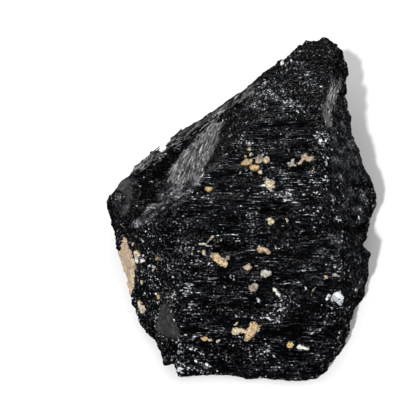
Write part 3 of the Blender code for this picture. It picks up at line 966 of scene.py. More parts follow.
# %% Black tourmaline
def tourmaline():
    """Glassy, grainy or satin black, by the lump's masks."""
    material, tree, shader = new_material("black_tourmaline")
    here = here_in_mm(tree)
    mask = {name: attribute(tree, name) for name in COLOURED_BY}
    broken = maths(tree, "SUBTRACT", 1.0, mask["striated"])
    mask["grainy"] = maths(tree, "MAXIMUM", mask["crumbly"], broken)
    mask["calm"] = maths(tree, "MINIMUM", maths(tree, "MULTIPLY", mask["veil"], 1.6), 1.0)
    wavy = wavy_place(tree, here)
    mirrors = placed(tree, MIRRORS, vector=here, size=MIRROR_SIZE)
    sparks = placed(tree, MIRRORS, vector=here, size=SPARK_SIZE)
    fibres, ledges = (
        centred_noise(tree, drawn_out(tree, wavy, axis, 10.0), FIBRE_SIZE, 3.0)
        for axis in (FIBRE_AXIS, LEDGE_AXIS)
    )
    grit = maths(tree, "ADD", mirrors["Height"], sparks["Height"])
    bumped(tree, shader, finest_relief(tree, here, mask, grit, fibres, ledges))

    amount = glints(tree, here, mask)
    pale = maths(tree, "MINIMUM", maths(tree, "MULTIPLY", amount, WHITENING), 1.0)
    colour = scaled(tree, colour_mix(tree, pale, COOL, NEUTRAL), amount)
    broad = drawn_out(tree, wavy, LEDGE_AXIS, PLATE_TIMES)
    plates = placed(tree, MIRRORS, vector=broad, size=1.1)["Shade"]
    splits = centred_noise(tree, drawn_out(tree, wavy, FIBRE_AXIS, 4.0), 1.1, 2.0)
    streaks = {
        "fibrous": maths(tree, "MULTIPLY_ADD", splits, 0.5, fibres),
        "ledged": maths(tree, "MULTIPLY", ledges, maths(tree, "MULTIPLY_ADD", plates, 1.4, 0.2)),
    }
    for kind, finish in SATINS.items():
        colour = colour_mix(tree, mask[kind], colour, satin_grey(tree, streaks[kind], *finish))
    dull = scaled(tree, DULL, specks(tree, here, 0.7, 1.4))
    tree.links.new(colour_mix(tree, mask["smooth"], colour, dull), shader.inputs["Base Color"])

    sparkling = maths(tree, "MULTIPLY_ADD", sparks["Shade"], 0.35, 0.12)
    roughness = mixed(tree, mask["grainy"], GLASSY, sparkling)
    silky = maths(tree, "MAXIMUM", mask["fibrous"], mask["ledged"])
    roughness = mixed(tree, silky, roughness, SILKY)
    roughness = mixed(tree, mask["smooth"], roughness, SATIN_SMOOTH)
    tree.links.new(roughness, shader.inputs["Roughness"])
    shader.inputs["IOR"].default_value = SCHORL_IOR
    shader.inputs["Specular IOR Level"].default_value = WORN_GLOSS
    return material


black = tourmaline()
lump = grown("tourmaline_lump", fine, relief_tree(black), relief_values)

# %% [markdown]
# ## Grains of feldspar
# Cream, orange and pink grains of feldspar grew in the tourmaline. Most of them show as low
# patches with a ragged outline, and one runs as a strip down the left flank. A grain that fills
# an outline is made of many small flat lobes that overlap on the surface. Geometry Nodes turns
# the lobes into one volume and back into a mesh, which fuses them as a Boolean would, but faster,
# and then roughens it. A voxel can't be smaller than 0.01 units, so the tree works in millimetres
# and shrinks the result at its end.

# %% The grains' outlines
WHITE, GREY, CREAM, PEACH, ORANGE, OCHRE, PINK, BROWN = (step / 7 for step in range(8))  # tones
FLANK_GRAIN = [  # the strip down the left flank
    (126, 233), (128, 241), (129, 248), (132, 252), (132, 258), (135, 264), (135, 270), (134, 276),
    (135, 284), (133, 291), (131, 298), (125, 288), (122, 277), (118, 266), (117, 256), (120, 249),
    (122, 241),
]
GRAINS = [  # tone, and the outline's corners in the picture
    (CREAM, [(131, 256), (135, 259), (136, 267), (134, 270), (132, 262)]),
    (CREAM, [(131, 273), (135, 273), (135, 284), (132, 292)]),
    (PINK, [(152, 266), (155, 265), (156, 268), (153, 269)]),
    (OCHRE, [(156, 257), (159, 257), (159, 260), (156, 260)]),
    (PEACH, [(245, 330), (248, 328), (250, 323), (255, 322), (258, 325), (262, 324), (258, 328),
             (256, 331), (255, 335), (251, 336), (249, 341), (246, 341), (244, 338), (246, 335)]),
    (CREAM, [(231, 331), (236, 327), (241, 329), (246, 330), (246, 333), (241, 333), (237, 334),
             (233, 334)]),
    (CREAM, [(233, 325), (238, 321), (240, 322), (235, 326)]),
    (PEACH, [(210, 254), (213, 253), (218, 254), (221, 257), (226, 260), (228, 265), (226, 267),
             (221, 267), (218, 264), (215, 260), (211, 258)]),
    (BROWN, [(225, 256), (230, 257), (230, 260), (226, 260)]),
    (CREAM, [(202, 250), (205, 249), (206, 253), (205, 256), (202, 254)]),
    (PINK, [(256, 250), (259, 247), (265, 248), (270, 250), (272, 254), (269, 255), (264, 252),
            (259, 252)]),
    (PINK, [(244, 266), (248, 264), (252, 265), (251, 269), (248, 271), (244, 270)]),
    (GREY, [(259, 274), (263, 270), (266, 270), (268, 272), (270, 269), (272, 272), (272, 275),
            (268, 276), (266, 278), (262, 277)]),
    (BROWN, [(248, 287), (251, 284), (254, 283), (258, 285), (257, 289), (255, 292), (250, 291)]),
    (WHITE, [(273, 286), (276, 288), (278, 291), (281, 295), (281, 298), (279, 298), (276, 293),
             (273, 290)]),
    (OCHRE, [(240, 163), (244, 161), (247, 159), (251, 158), (253, 161), (252, 164), (245, 165),
             (241, 166)]),
    (ORANGE, [(249, 166), (254, 165), (258, 165), (259, 168), (255, 171), (251, 171)]),
    (CREAM, [(257, 170), (261, 170), (264, 172), (263, 174), (259, 174)]),
    (CREAM, [(247, 148), (250, 147), (252, 150), (249, 152)]),
    (GREY, [(250, 152), (253, 153), (253, 157), (249, 157)]),
    (OCHRE, [(243, 155), (247, 155), (247, 158), (244, 158)]),
    (BROWN, [(255, 160), (257, 156), (261, 155), (264, 158), (264, 162), (260, 164), (256, 163)]),
    (CREAM, [(264, 157), (268, 156), (270, 161), (267, 164), (264, 162)]),
    (CREAM, [(265, 181), (267, 178), (269, 180), (274, 181), (275, 185), (274, 189), (270, 190),
             (267, 188)]),
    (PINK, [(300, 161), (302, 156), (306, 154), (309, 157), (312, 155), (314, 159), (312, 162),
            (308, 162), (305, 160), (302, 164), (298, 166), (297, 163)]),
    (GREY, [(286, 162), (290, 163), (291, 160), (293, 158), (295, 160), (294, 163), (298, 166),
            (291, 167), (288, 166)]),
    (PINK, [(311, 174), (313, 168), (315, 168), (313, 174)]),
    (OCHRE, [(204, 190), (206, 187), (211, 187), (214, 188), (212, 191), (208, 192)]),
    (CREAM, [(266, 219), (271, 217), (275, 221), (273, 224), (269, 226), (268, 222)]),
    (CREAM, [(284, 218), (288, 218), (289, 222), (286, 223)]),
    (ORANGE, [(286, 345), (288, 342), (292, 342), (294, 345), (292, 348), (287, 348)]),
    (WHITE, [(296, 346), (299, 344), (305, 346), (309, 347), (309, 350), (302, 349), (297, 349)]),
    (ORANGE, [(200, 338), (204, 336), (208, 337), (208, 340), (202, 341)]),
    (PINK, [(208, 339), (212, 338), (215, 341), (209, 342)]),
    (GREY, [(216, 339), (220, 339), (220, 342), (217, 342)]),
    (CREAM, [(138, 300), (141, 300), (142, 305), (145, 308), (145, 313), (142, 315), (140, 310),
             (138, 305)]),
    (ORANGE, [(157, 290), (159, 293), (160, 298), (159, 300), (157, 297)]),
    (CREAM, [(132, 242), (134, 242), (135, 246), (133, 247)]),
    (CREAM, [(134, 250), (139, 251), (140, 256), (135, 257)]),
    (WHITE, [(135, 256), (139, 256), (139, 263), (137, 264)]),
    (BROWN, [(133, 265), (137, 265), (137, 270), (134, 270)]),
    (WHITE, [(141, 258), (145, 259), (145, 263), (142, 263)]),
    (CREAM, [(141, 279), (143, 279), (144, 284), (142, 285)]),
    (CREAM, [(323, 276), (328, 275), (329, 278), (324, 279)]),
    (GREY, [(331, 274), (337, 273), (338, 276), (332, 277)]),
    (GREY, [(198, 244), (206, 243), (207, 245), (198, 246)]),
    (CREAM, [(206, 241), (213, 235), (215, 237), (208, 243)]),
    (BROWN, [(310, 295), (312, 290), (315, 286), (316, 288), (313, 292), (312, 296)]),
    (BROWN, [(223, 286), (227, 286), (227, 289), (223, 289)]),
]
print(len(GRAINS), "grains show, beside the strip down the left flank")

# %% Lobes
LOBE_STEP = 1.3  # pixels between the lobes that fill an outline
LEAST_ROOM = 0.3  # pixels: a lobe's middle lies at least this far inside the outline
LEAST_RADIUS = 0.7  # pixels
UNEVEN = (0.6, 1.2)  # how much smaller or larger a lobe is than its room
STEEPEST = 0.35  # a lobe on a face seen from the side is drawn out by at most 1 / this
TONE_STRAY = 0.04  # how far a lobe's tone may be off its grain's
GRAIN_HALF_THICKNESS = 0.40  # mm
DRAPE_STEP = 5  # every so many of the skin's points carries a lobe of the flank's grain
DRAPE_RADII = (0.3, 0.9)  # mm
DRAPE_RIM = 0.15  # mm: how far past the outline a lobe reaches
DRAPE_REACH = 8  # of the skin's edges, beyond the last that is seen
GRAIN_SEED = 11


def lobe(place, normal, along, half_length, half_width, tone):
    """One flat lobe on the surface, with sizes in mm."""
    return {
        "place": place / MM,
        "facing": normal,
        "along": along,
        "half_size": Vector((half_length, half_width, GRAIN_HALF_THICKNESS)),
        "tone": tone,
    }


def picture_lobe(px, py, radius, tone):
    """A lobe that shows as a round spot of this radius at this place, or None beside the lump."""
    ray = ray_through(px, py)
    place, normal, _face, _distance = skin_tree.ray_cast(CAMERA_AT, ray)
    if place is None:
        return None
    along = ray - ray.dot(normal) * normal
    steep = max(STEEPEST, abs(ray.dot(normal)))
    half_width = radius / PX_PER_MM
    return lobe(place, normal, along.normalized(), half_width / steep, half_width, tone)


def filled(tone, corners, rng):
    """Lobes that fill an outline of the picture, each about as wide as there is room for."""
    low, high = np.min(corners, axis=0), np.max(corners, axis=0)
    columns, rows = (np.arange(low[axis], high[axis], LOBE_STEP) for axis in range(2))
    spots = np.array([(px, py) for px in columns for py in rows])
    rooms = depth_inside(spots, corners)
    made = []
    for (px, py), room in zip(spots, rooms):
        if room > LEAST_ROOM:
            radius = max(room, LEAST_RADIUS) * rng.uniform(*UNEVEN)
            made.append(picture_lobe(px, py, radius, tone + rng.uniform(-TONE_STRAY, TONE_STRAY)))
    return [one for one in made if one is not None]


def draped(tone, corners, rng):
    """Round lobes all over the skin inside an outline, and a little way round the lump's edge."""
    rooms = depth_inside(picture, corners) / PX_PER_MM
    chosen = np.flatnonzero((rooms > 0.0) & (spread(seen, DRAPE_REACH) > 0.0))[::DRAPE_STEP]
    made = []
    for index in chosen:
        normal = Vector(normals[index])
        along = normal.cross(Vector((0.0, 0.0, 1.0))).normalized()
        radius = min(rng.uniform(*DRAPE_RADII), rooms[index] + DRAPE_RIM)
        made.append(lobe(Vector(points[index]) * MM, normal, along, radius, radius, tone))
    return made


rng = random.Random(GRAIN_SEED)
lobes = draped(PINK, FLANK_GRAIN, rng)
for grain in GRAINS:
    lobes += filled(*grain, rng)
print(len(lobes), "lobes for the grains that show")

# %% More grains, on the sides that the camera doesn't see
SIDE_GRAINS = 16
SIDE_AZIMUTHS = (-20.0, 200.0)  # degrees
SIDE_TONES = (CREAM, ORANGE, PINK)
SIDE_LENGTHS = (0.5, 1.3)  # mm, half
SIDE_WIDTHS = (0.4, 0.9)  # shares of the length
CLEAR = 1.5 * MM  # a spot this far above the skin must be hidden too
FAR_OUT = 200 * MM
EDGE_LOBES = 4  # smaller ones round each


def ragged(main, rng):
    """The lobe with smaller ones set into its edge, so that its outline is irregular."""
    made = [main]
    across = main["facing"].cross(main["along"])
    long_half, wide_half = main["half_size"].x, main["half_size"].y
    for _ in range(EDGE_LOBES):
        angle = rng.uniform(0.0, 2.0 * math.pi)
        towards_end = main["along"] * math.cos(angle) * long_half
        towards_side = across * math.sin(angle) * wide_half
        size = rng.uniform(0.35, 0.6) * math.sqrt(long_half * wide_half)
        small = dict(main)
        small["place"] = main["place"] + 0.75 * (towards_end + towards_side)
        small["half_size"] = Vector((size * rng.uniform(0.8, 1.6), size, GRAIN_HALF_THICKNESS))
        small["tone"] = main["tone"] + rng.uniform(-2.0 * TONE_STRAY, 2.0 * TONE_STRAY)
        made.append(small)
    main["half_size"] = Vector((0.85 * long_half, 0.8 * wide_half, GRAIN_HALF_THICKNESS))
    return made


def side_lobe(rng):
    """A lobe that the camera doesn't see, found by a level ray towards the middle."""
    hidden = False
    while not hidden:
        azimuth = math.radians(rng.uniform(*SIDE_AZIMUTHS))
        outwards = Vector((math.cos(azimuth), math.sin(azimuth), 0.0))
        goal = Vector((0.0, rng.uniform(-15.0, 10.0), rng.uniform(3.0, 16.0))) * MM
        place, normal, _face, _distance = skin_tree.ray_cast(goal + FAR_OUT * outwards, -outwards)
        raised = place + CLEAR * normal
        cover, _normal, _face, distance = skin_tree.ray_cast(CAMERA_AT, raised - CAMERA_AT)
        hidden = cover is not None and distance < (raised - CAMERA_AT).length
    along = normal.cross(Vector((0.0, 0.0, 1.0))).normalized()
    length = rng.uniform(*SIDE_LENGTHS)
    width = length * rng.uniform(*SIDE_WIDTHS)
    return lobe(place, normal, along, length, width, rng.choice(SIDE_TONES))


def points_mesh(name, rows):
    """A mesh of loose points, with every other value of a row as an attribute."""
    made = bpy.data.meshes.new(name)
    made.from_pydata([row["place"] for row in rows], [], [])
    for key, value in rows[0].items():
        if key == "place":
            continue
        kind, slot = ("FLOAT_VECTOR", "vector") if isinstance(value, Vector) else ("FLOAT", "value")
        values = np.array([row[key] for row in rows], dtype=np.float32)
        made.attributes.new(key, kind, "POINT").data.foreach_set(slot, values.ravel())
    return made


for _ in range(SIDE_GRAINS):
    lobes += ragged(side_lobe(rng), rng)
print(len(lobes), "lobes with those of the other", SIDE_GRAINS, "grains")

# %% The grains' shape
GRAIN_INPUTS = {  # in mm
    "Voxel": 0.13,
    "Facet Size": 0.9,
    "Facet Height": 0.22,
    "Rough Size": 0.52,
    "Rough Height": 0.38,
    "Top": TOP / MM,
}
FLANK_EDGE = (-21.0, -20.2)  # x in mm: the strip on the left flank lies left of this
FLANK_SHARE = 0.3  # that strip is worn: it has this share of the other grains' relief and seams


def worn(tree, place):
    """The share of their relief and seams that the grains have here: less on the left flank."""
    across = add(tree, "ShaderNodeSeparateXYZ", {0: place}).outputs["X"]
    return mapped(tree, across, *FLANK_EDGE, FLANK_SHARE)


def laid_out(tree, spots, shape):
    """The shape on every point, turned and sized by the point's attributes."""
    turned = add(
        tree, "FunctionNodeAxesToRotation",
        {"Primary Axis": named(tree, "facing", "FLOAT_VECTOR"),
         "Secondary Axis": named(tree, "along", "FLOAT_VECTOR")},
        primary_axis="Z", secondary_axis="X",
    )
    laid = add(
        tree, "GeometryNodeInstanceOnPoints",
        {"Points": spots, "Instance": shape,
         "Rotation": turned.outputs[0], "Scale": named(tree, "half_size", "FLOAT_VECTOR")},
    )
    return laid.outputs[0]


def stored(tree, geometry, name, value):
    """The geometry with a value kept on its points under this name."""
    sockets = {"Geometry": geometry, "Name": name, "Value": value}
    return add(tree, "GeometryNodeStoreNamedAttribute", sockets, data_type="FLOAT").outputs[0]


def capped(tree, place, top):
    """The place, or the spot straight below it at the top's height where it is higher."""
    x, y, z = add(tree, "ShaderNodeSeparateXYZ", {0: place}).outputs[:3]
    level = maths(tree, "MINIMUM", z, top)
    return add(tree, "ShaderNodeCombineXYZ", {"X": x, "Y": y, "Z": level}).outputs[0]


def grain_tree(material):
    """Flat lobes on points, fused through a volume, roughened, and shrunk to metres."""
    tree, given = geometry_tree("grains", GRAIN_INPUTS)
    ball = add(tree, "GeometryNodeMeshIcoSphere", {"Radius": 1.0, "Subdivisions": 3})
    loose = laid_out(tree, given["Geometry"], ball.outputs["Mesh"])
    whole = add(tree, "GeometryNodeRealizeInstances", {"Geometry": loose})
    fog = add(
        tree, "GeometryNodeMeshToVolume",
        {"Mesh": whole.outputs[0], "Voxel Size": given["Voxel"], "Interior Band Width": 0.4},
        resolution_mode="VOXEL_SIZE",
    )
    fused = add(tree, "GeometryNodeVolumeToMesh", {"Volume": fog.outputs[0], "Threshold": 0.1})
    here = add(tree, "GeometryNodeInputPosition").outputs[0]
    normal = add(tree, "GeometryNodeInputNormal").outputs[0]
    flats = facets(tree, here, given["Facet Size"])[0]
    bumps = centred_noise(tree, here, given["Rough Size"], 2.0)
    height = maths(tree, "MULTIPLY", flats, given["Facet Height"])
    height = plus(tree, height, bumps, given["Rough Height"])
    rise = scaled(tree, normal, maths(tree, "MULTIPLY", height, worn(tree, here)))
    kept = capped(tree, vector_maths(tree, "ADD", here, rise), given["Top"])
    rough = add(
        tree, "GeometryNodeSetPosition", {"Geometry": fused.outputs[0], "Position": kept}
    )
    nearest = add(tree, "GeometryNodeSampleNearest", {"Geometry": given["Geometry"]}, domain="POINT")
    tone = add(
        tree, "GeometryNodeSampleIndex",
        {"Geometry": given["Geometry"], "Value": named(tree, "tone"), "Index": nearest.outputs[0]},
    )
    toned = stored(tree, rough.outputs[0], "tone", tone.outputs[0])
    shrunk = add(tree, "GeometryNodeTransform", {"Geometry": toned, "Scale": (MM, MM, MM)})
    finish_tree(tree, shrunk.outputs[0], material)
    return tree


# %% Feldspar
TONES = [  # tone, colour
    (WHITE, (0.60, 0.60, 0.53, 1.0)),
    (GREY, (0.36, 0.35, 0.31, 1.0)),
    (CREAM, (0.55, 0.47, 0.33, 1.0)),
    (PEACH, (0.455, 0.33, 0.195, 1.0)),
    (ORANGE, (0.50, 0.335, 0.155, 1.0)),
    (OCHRE, (0.33, 0.25, 0.12, 1.0)),
    (PINK, (0.45, 0.33, 0.24, 1.0)),
    (BROWN, (0.24, 0.21, 0.17, 1.0)),
]
SEAM = (0.10, 0.075, 0.05, 1.0)
SEAM_NOISE = (0.21, 0.33)  # where in the noise a seam begins, and where it is full
TONE_WANDER = 0.28  # how far the tone strays within a grain
BRIGHTEST_MOTTLE = 1.6  # times the grain's colour
CLEAVAGE = 0.2  # its bump, as a share of the mirrors' own height


def feldspar():
    """Matte to pearly grains, mottled, with darker seams where the tourmaline grows into them."""
    material, tree, shader = new_material("feldspar")
    here = here_in_mm(tree)
    wander = centred_noise(tree, here, 0.9, 2.0)
    tone = maths(tree, "MULTIPLY_ADD", wander, TONE_WANDER, attribute(tree, "tone"))
    toned = add(tree, "ShaderNodeValToRGB", {"Fac": tone})
    steps = toned.color_ramp.elements
    for _ in range(len(TONES) - 2):
        steps.new(0.5)
    for step, (position, colour) in zip(steps, TONES):
        step.position = position
        step.color = colour
    share = worn(tree, here)
    mottle = specks(tree, here, 0.6, maths(tree, "MULTIPLY", share, 1.7))
    mottle = maths(tree, "MINIMUM", mottle, BRIGHTEST_MOTTLE)
    seams = mapped(tree, centred_noise(tree, here, 0.6, 3.0), *SEAM_NOISE)
    seams = maths(tree, "MULTIPLY", seams, share)
    mottled = colour_mix(tree, seams, scaled(tree, toned.outputs["Color"], mottle), SEAM)
    tree.links.new(mottled, shader.inputs["Base Color"])
    cleavage = placed(tree, MIRRORS, vector=here, size=0.5)
    gloss = maths(tree, "MULTIPLY_ADD", cleavage["Shade"], 0.3, 0.35)
    tree.links.new(gloss, shader.inputs["Roughness"])
    bumped(tree, shader, maths(tree, "MULTIPLY", cleavage["Height"], share), CLEAVAGE)
    return material


grains = grown("feldspar_grains", points_mesh("lobes", lobes), grain_tree(feldspar()))

# %% [markdown]
# ## Flakes of mica
# Mica splits into thin bright sheets. Scattered over the lump, each flake catches the light at
# its own angle and gives the stone its sparkle; its pale colour is partly a painted glint.
# Geometry Nodes spreads them over the finished lump, thickest in the nests that the mask gives,
# and tilts each a little off the surface. A particle system could do that too, but a tree turns
# and sizes each flake as it is told. Its random values come from a seed, so the flakes lie the
# same each time.

# %% Flakes of mica
MICA_INPUTS = {  # half sizes in mm, apart from the density, the tilt in radians and the seed
    "Per Square Millimetre": 0.9,
    "Least Size": 0.10,
    "Most Size": 0.42,
    "Thickness": 0.05,
    "Tilt": 0.55,
    "Seed": 3.0,
}
FEW_LARGE = 3.0  # the higher, the fewer flakes are near the largest size
CLEAR_OF_TABLE = 1.2  # times the largest size: no flake lies lower than this
CLEAR_OF_TOP = 0.65  # times the largest size


def by_chance(tree, given, turn, low=0.0, high=1.0):
    """A random number for each point. Every turn draws its own."""
    seed = maths(tree, "ADD", given["Seed"], turn)
    sockets = {"Min": low, "Max": high, "Seed": seed}
    return add(tree, "FunctionNodeRandomValue", sockets, data_type="FLOAT").outputs["Value"]


def five_sided(tree, radius, depth):
    """A flat five-sided sheet."""
    sockets = {"Vertices": 5, "Radius": radius, "Depth": depth}
    return add(tree, "GeometryNodeMeshCylinder", sockets, fill_type="NGON").outputs["Mesh"]


def flake_turn(tree, given, level):
    """The turn of each flake: its face's own, tilted a little and spun at random."""
    tilt = add(
        tree, "FunctionNodeRandomValue",
        {"Min": (-1.0, -1.0, -3.1), "Max": (1.0, 1.0, 3.1), "Seed": given["Seed"]},
        data_type="FLOAT_VECTOR",
    ).outputs["Value"]
    most = add(tree, "ShaderNodeCombineXYZ", {"X": given["Tilt"], "Y": given["Tilt"], "Z": 1.0})
    tilt = vector_maths(tree, "MULTIPLY", tilt, most.outputs[0])
    sockets = {"Rotation": level, "Rotate By": tilt}
    return add(
        tree, "FunctionNodeRotateRotation", sockets, rotation_space="LOCAL"
    ).outputs[0]


def flake_scale(tree, given):
    """The size of each flake in metres: most are small, and all are thin."""
    share = maths(tree, "POWER", by_chance(tree, given, 1.0), FEW_LARGE)
    size = mixed(tree, share, given["Least Size"], given["Most Size"])
    width = maths(tree, "MULTIPLY", size, by_chance(tree, given, 2.0, 0.25))
    whole = add(tree, "ShaderNodeCombineXYZ", {"X": size, "Y": width, "Z": given["Thickness"]})
    return scaled(tree, whole.outputs[0], 2.0 * MM)


def mica_tree(material):
    """Thin flakes scattered over a surface by its mica mask."""
    tree, given = geometry_tree("mica", MICA_INPUTS)
    place = add(tree, "GeometryNodeInputPosition").outputs[0]
    above = add(tree, "ShaderNodeSeparateXYZ", {0: place}).outputs["Z"]
    least = maths(tree, "MULTIPLY", given["Most Size"], CLEAR_OF_TABLE * MM)
    density = maths(tree, "MULTIPLY", given["Per Square Millimetre"], 1.0 / MM**2)
    density = maths(tree, "MULTIPLY", density, maths(tree, "GREATER_THAN", above, least))
    spots = add(
        tree, "GeometryNodeDistributePointsOnFaces",
        {"Mesh": given["Geometry"], "Seed": given["Seed"],
         "Density": maths(tree, "MULTIPLY", named(tree, "mica"), density)},
        distribute_method="RANDOM",
    )
    shaded = stored(tree, spots.outputs["Points"], "shade", by_chance(tree, given, 3.0))
    highest = maths(tree, "MULTIPLY_ADD", given["Most Size"], -CLEAR_OF_TOP * MM, TOP)
    sunk = add(
        tree, "GeometryNodeSetPosition",
        {"Geometry": shaded, "Position": capped(tree, place, highest)},
    )
    flakes = add(
        tree, "GeometryNodeInstanceOnPoints",
        {"Points": sunk.outputs[0], "Instance": five_sided(tree, 0.5, 1.0),
         "Rotation": flake_turn(tree, given, spots.outputs["Rotation"]),
         "Scale": flake_scale(tree, given)},
    )
    finish_tree(tree, flakes.outputs[0], material)
    return tree


# %% Mica's finish
DARK_SHEET = (0.03, 0.032, 0.036, 1.0)
PALE_SHEET = (0.86, 0.92, 0.96, 1.0)
SHEET_GLOSS = 0.22  # roughness
SHEET_METAL = 0.1
SHEET_STEPS = 0.3  # their bump, as a share of the mirrors' own height


def mica():
    """Silvery sheets: some pale, some nearly as dark as the stone that shows through them."""
    material, tree, shader = new_material("mica")
    here = here_in_mm(tree)
    # how pale a sheet is: partly a painted glint
    shade = maths(tree, "POWER", attribute(tree, "shade"), 1.6)
    mottle = maths(tree, "MINIMUM", specks(tree, here, 0.3, 1.8), 1.05)
    colour = scaled(tree, colour_mix(tree, shade, DARK_SHEET, PALE_SHEET), mottle)
    tree.links.new(colour, shader.inputs["Base Color"])
    steps = placed(tree, MIRRORS, vector=here, size=0.35)["Height"]
    bumped(tree, shader, steps, SHEET_STEPS)
    shader.inputs["Roughness"].default_value = SHEET_GLOSS
    shader.inputs["Metallic"].default_value = SHEET_METAL
    return material


silver = mica()
flakes = grown("mica_flakes", lump.data, mica_tree(silver))

# %% [markdown]
# ## Plates of mica
# In some spots the mica is larger: plates that overlap, each leaning its own way, so that some
# of them catch the light whole, and their pale colour is partly a painted glint. Like the
# grains they are laid out from places in the picture, as points that carry their own turn and
# size. Geometry Nodes then sets one sheet on each point.

# %% Plates of mica
# middle and spread in the picture's pixels, how many, how pale, longest half length in mm
PLATES = [
    (338, 297, 1.6, 9, 1.0, 1.2), (339, 296, 3.6, 20, 1.0, 0.6), (334, 299, 2.6, 8, 1.0, 0.6),
    (328, 297, 2.4, 6, 0.9, 0.4), (339, 302, 2.4, 8, 1.0, 0.5), (207, 366, 2.0, 6, 1.0, 0.6),
    (179, 352, 0.7, 5, 1.0, 0.5), (183, 365, 1.2, 7, 1.0, 0.7), (190, 366, 0.8, 4, 1.0, 0.5),
    (188, 347, 0.6, 2, 1.0, 0.25), (195, 361, 1.8, 4, 0.9, 0.3), (175, 294, 2.0, 5, 0.9, 0.35),
    (181, 290, 1.4, 3, 0.9, 0.3), (283, 64, 1.6, 4, 1.0, 0.5), (291, 60, 1.0, 3, 1.0, 0.3),
    (307, 75, 1.2, 3, 1.0, 0.45), (305, 83, 0.6, 2, 1.0, 0.25), (270, 93, 4.0, 16, 0.9, 0.26),
    (275, 97, 3.5, 12, 0.9, 0.24), (298, 112, 1.2, 3, 1.0, 0.32), (285, 108, 3.0, 6, 0.8, 0.22),
    (317, 133, 1.2, 3, 1.0, 0.28), (322, 134, 0.8, 3, 1.0, 0.26), (320, 141, 1.4, 4, 1.0, 0.28),
    (326, 141, 1.4, 4, 1.0, 0.28), (323, 145, 1.6, 4, 0.9, 0.26), (326, 164, 1.8, 5, 0.9, 0.3),
    (324, 180, 1.6, 4, 1.0, 0.3), (328, 181, 0.8, 2, 1.0, 0.26), (343, 196, 1.0, 2, 1.0, 0.26),
    (338, 219, 2.6, 7, 0.95, 0.28), (356, 290, 1.2, 3, 1.0, 0.3), (305, 267, 2.0, 4, 0.6, 0.4),
    (358, 217, 1.2, 4, 1.0, 0.4), (140, 187, 0.6, 2, 1.0, 0.3), (156, 180, 1.2, 3, 0.35, 0.4),
    (248, 173, 3.0, 5, 0.5, 0.3), (198, 183, 2.5, 4, 0.7, 0.3), (268, 349, 2.4, 5, 0.9, 0.3),
    (300, 348, 1.6, 3, 0.9, 0.3), (233, 277, 3.0, 5, 0.5, 0.35), (278, 196, 3.5, 6, 0.65, 0.28),
    (249, 144, 1.4, 3, 0.9, 0.3), (196, 262, 3.0, 5, 0.6, 0.3), (151, 267, 3.0, 6, 0.7, 0.3),
    (348, 308, 2.4, 5, 0.8, 0.35), (259, 301, 1.6, 3, 0.8, 0.3), (266, 352, 3.0, 6, 0.8, 0.26),
]
PLATE_HALF_THICKNESS = 0.04  # mm
PLATE_LIFT = 0.10  # mm
PLATE_TILT = 14.0  # degrees
PLATE_WIDTHS = (0.35, 0.9)  # shares of the length
PLATE_RISE = 0.4  # a leaning plate rises by at most this share of its half length
# how pale the plates are: partly painted glints, where the stone glints
PLATE_SHADES = (0.25, 0.7, 1.0, 1.0)
PLATE_SEED = 5


def under_top(place, reach):
    """The place, sunk where needed so that something this long stays under the top of the box."""
    return Vector((place.x, place.y, min(place.z, TOP - reach)))


def any_way(rng):
    """A random vector in the cube from -1 to 1."""
    return Vector([rng.uniform(-1.0, 1.0) for _ in range(3)])


def plate(rng, px, py, pale, longest):
    """One plate at this place of the picture, nearly level with the surface."""
    place, normal = touched(px, py)
    facing = (normal + math.tan(math.radians(PLATE_TILT)) * any_way(rng)).normalized()
    along = facing.cross(any_way(rng)).normalized()
    length = longest * rng.uniform(0.5, 1.0)
    width = length * rng.uniform(*PLATE_WIDTHS)
    reach = PLATE_RISE * length * MM + PLATE_LIFT * MM
    return {
        "place": under_top(place + PLATE_LIFT * MM * normal, reach),
        "facing": facing,
        "along": along,
        "half_size": MM * Vector((length, width, PLATE_HALF_THICKNESS)),
        "shade": pale * rng.choice(PLATE_SHADES),
    }


def plate_tree(material):
    """A thin angular plate on each point."""
    tree, given = geometry_tree("plates", {})
    laid = laid_out(tree, given["Geometry"], five_sided(tree, 1.0, 2.0))
    finish_tree(tree, laid, material)
    return tree


rng = random.Random(PLATE_SEED)
rows = []
for px, py, spread_px, count, *finish in PLATES:
    for _ in range(count):
        angle = rng.uniform(0.0, 2.0 * math.pi)
        away = spread_px * math.sqrt(rng.uniform(0.0, 1.0))
        right, down = away * math.cos(angle), away * math.sin(angle)
        rows.append(plate(rng, px + right, py + down, *finish))
plates = grown("mica_plates", points_mesh("plate_spots", rows), plate_tree(silver))

# %% [markdown]
# ## Splinters
# Where the crystal split along its length, loose-edged splinters still stand on the surface:
# hair-fine on the satin facet, broader and thicker on the ledges of the crest. Hair curves have
# no faces to hand over, so each is a sheet like mica's, but long and narrow. They lie at random
# places inside an outline, where the skin is even enough.

# %% The splinters' outlines and sizes
LONG_STREAKS = [(154, 160), (192, 128), (232, 96), (236, 98), (212, 126), (196, 134), (157, 165)]
CREST_LEDGES = [  # the crest, without its lowest corner
    (136, 168), (148, 156), (158, 147), (166, 144), (184, 128), (214, 110), (246, 88), (262, 80),
    (249, 96), (213, 117), (185, 135), (158, 157), (143, 170),
]
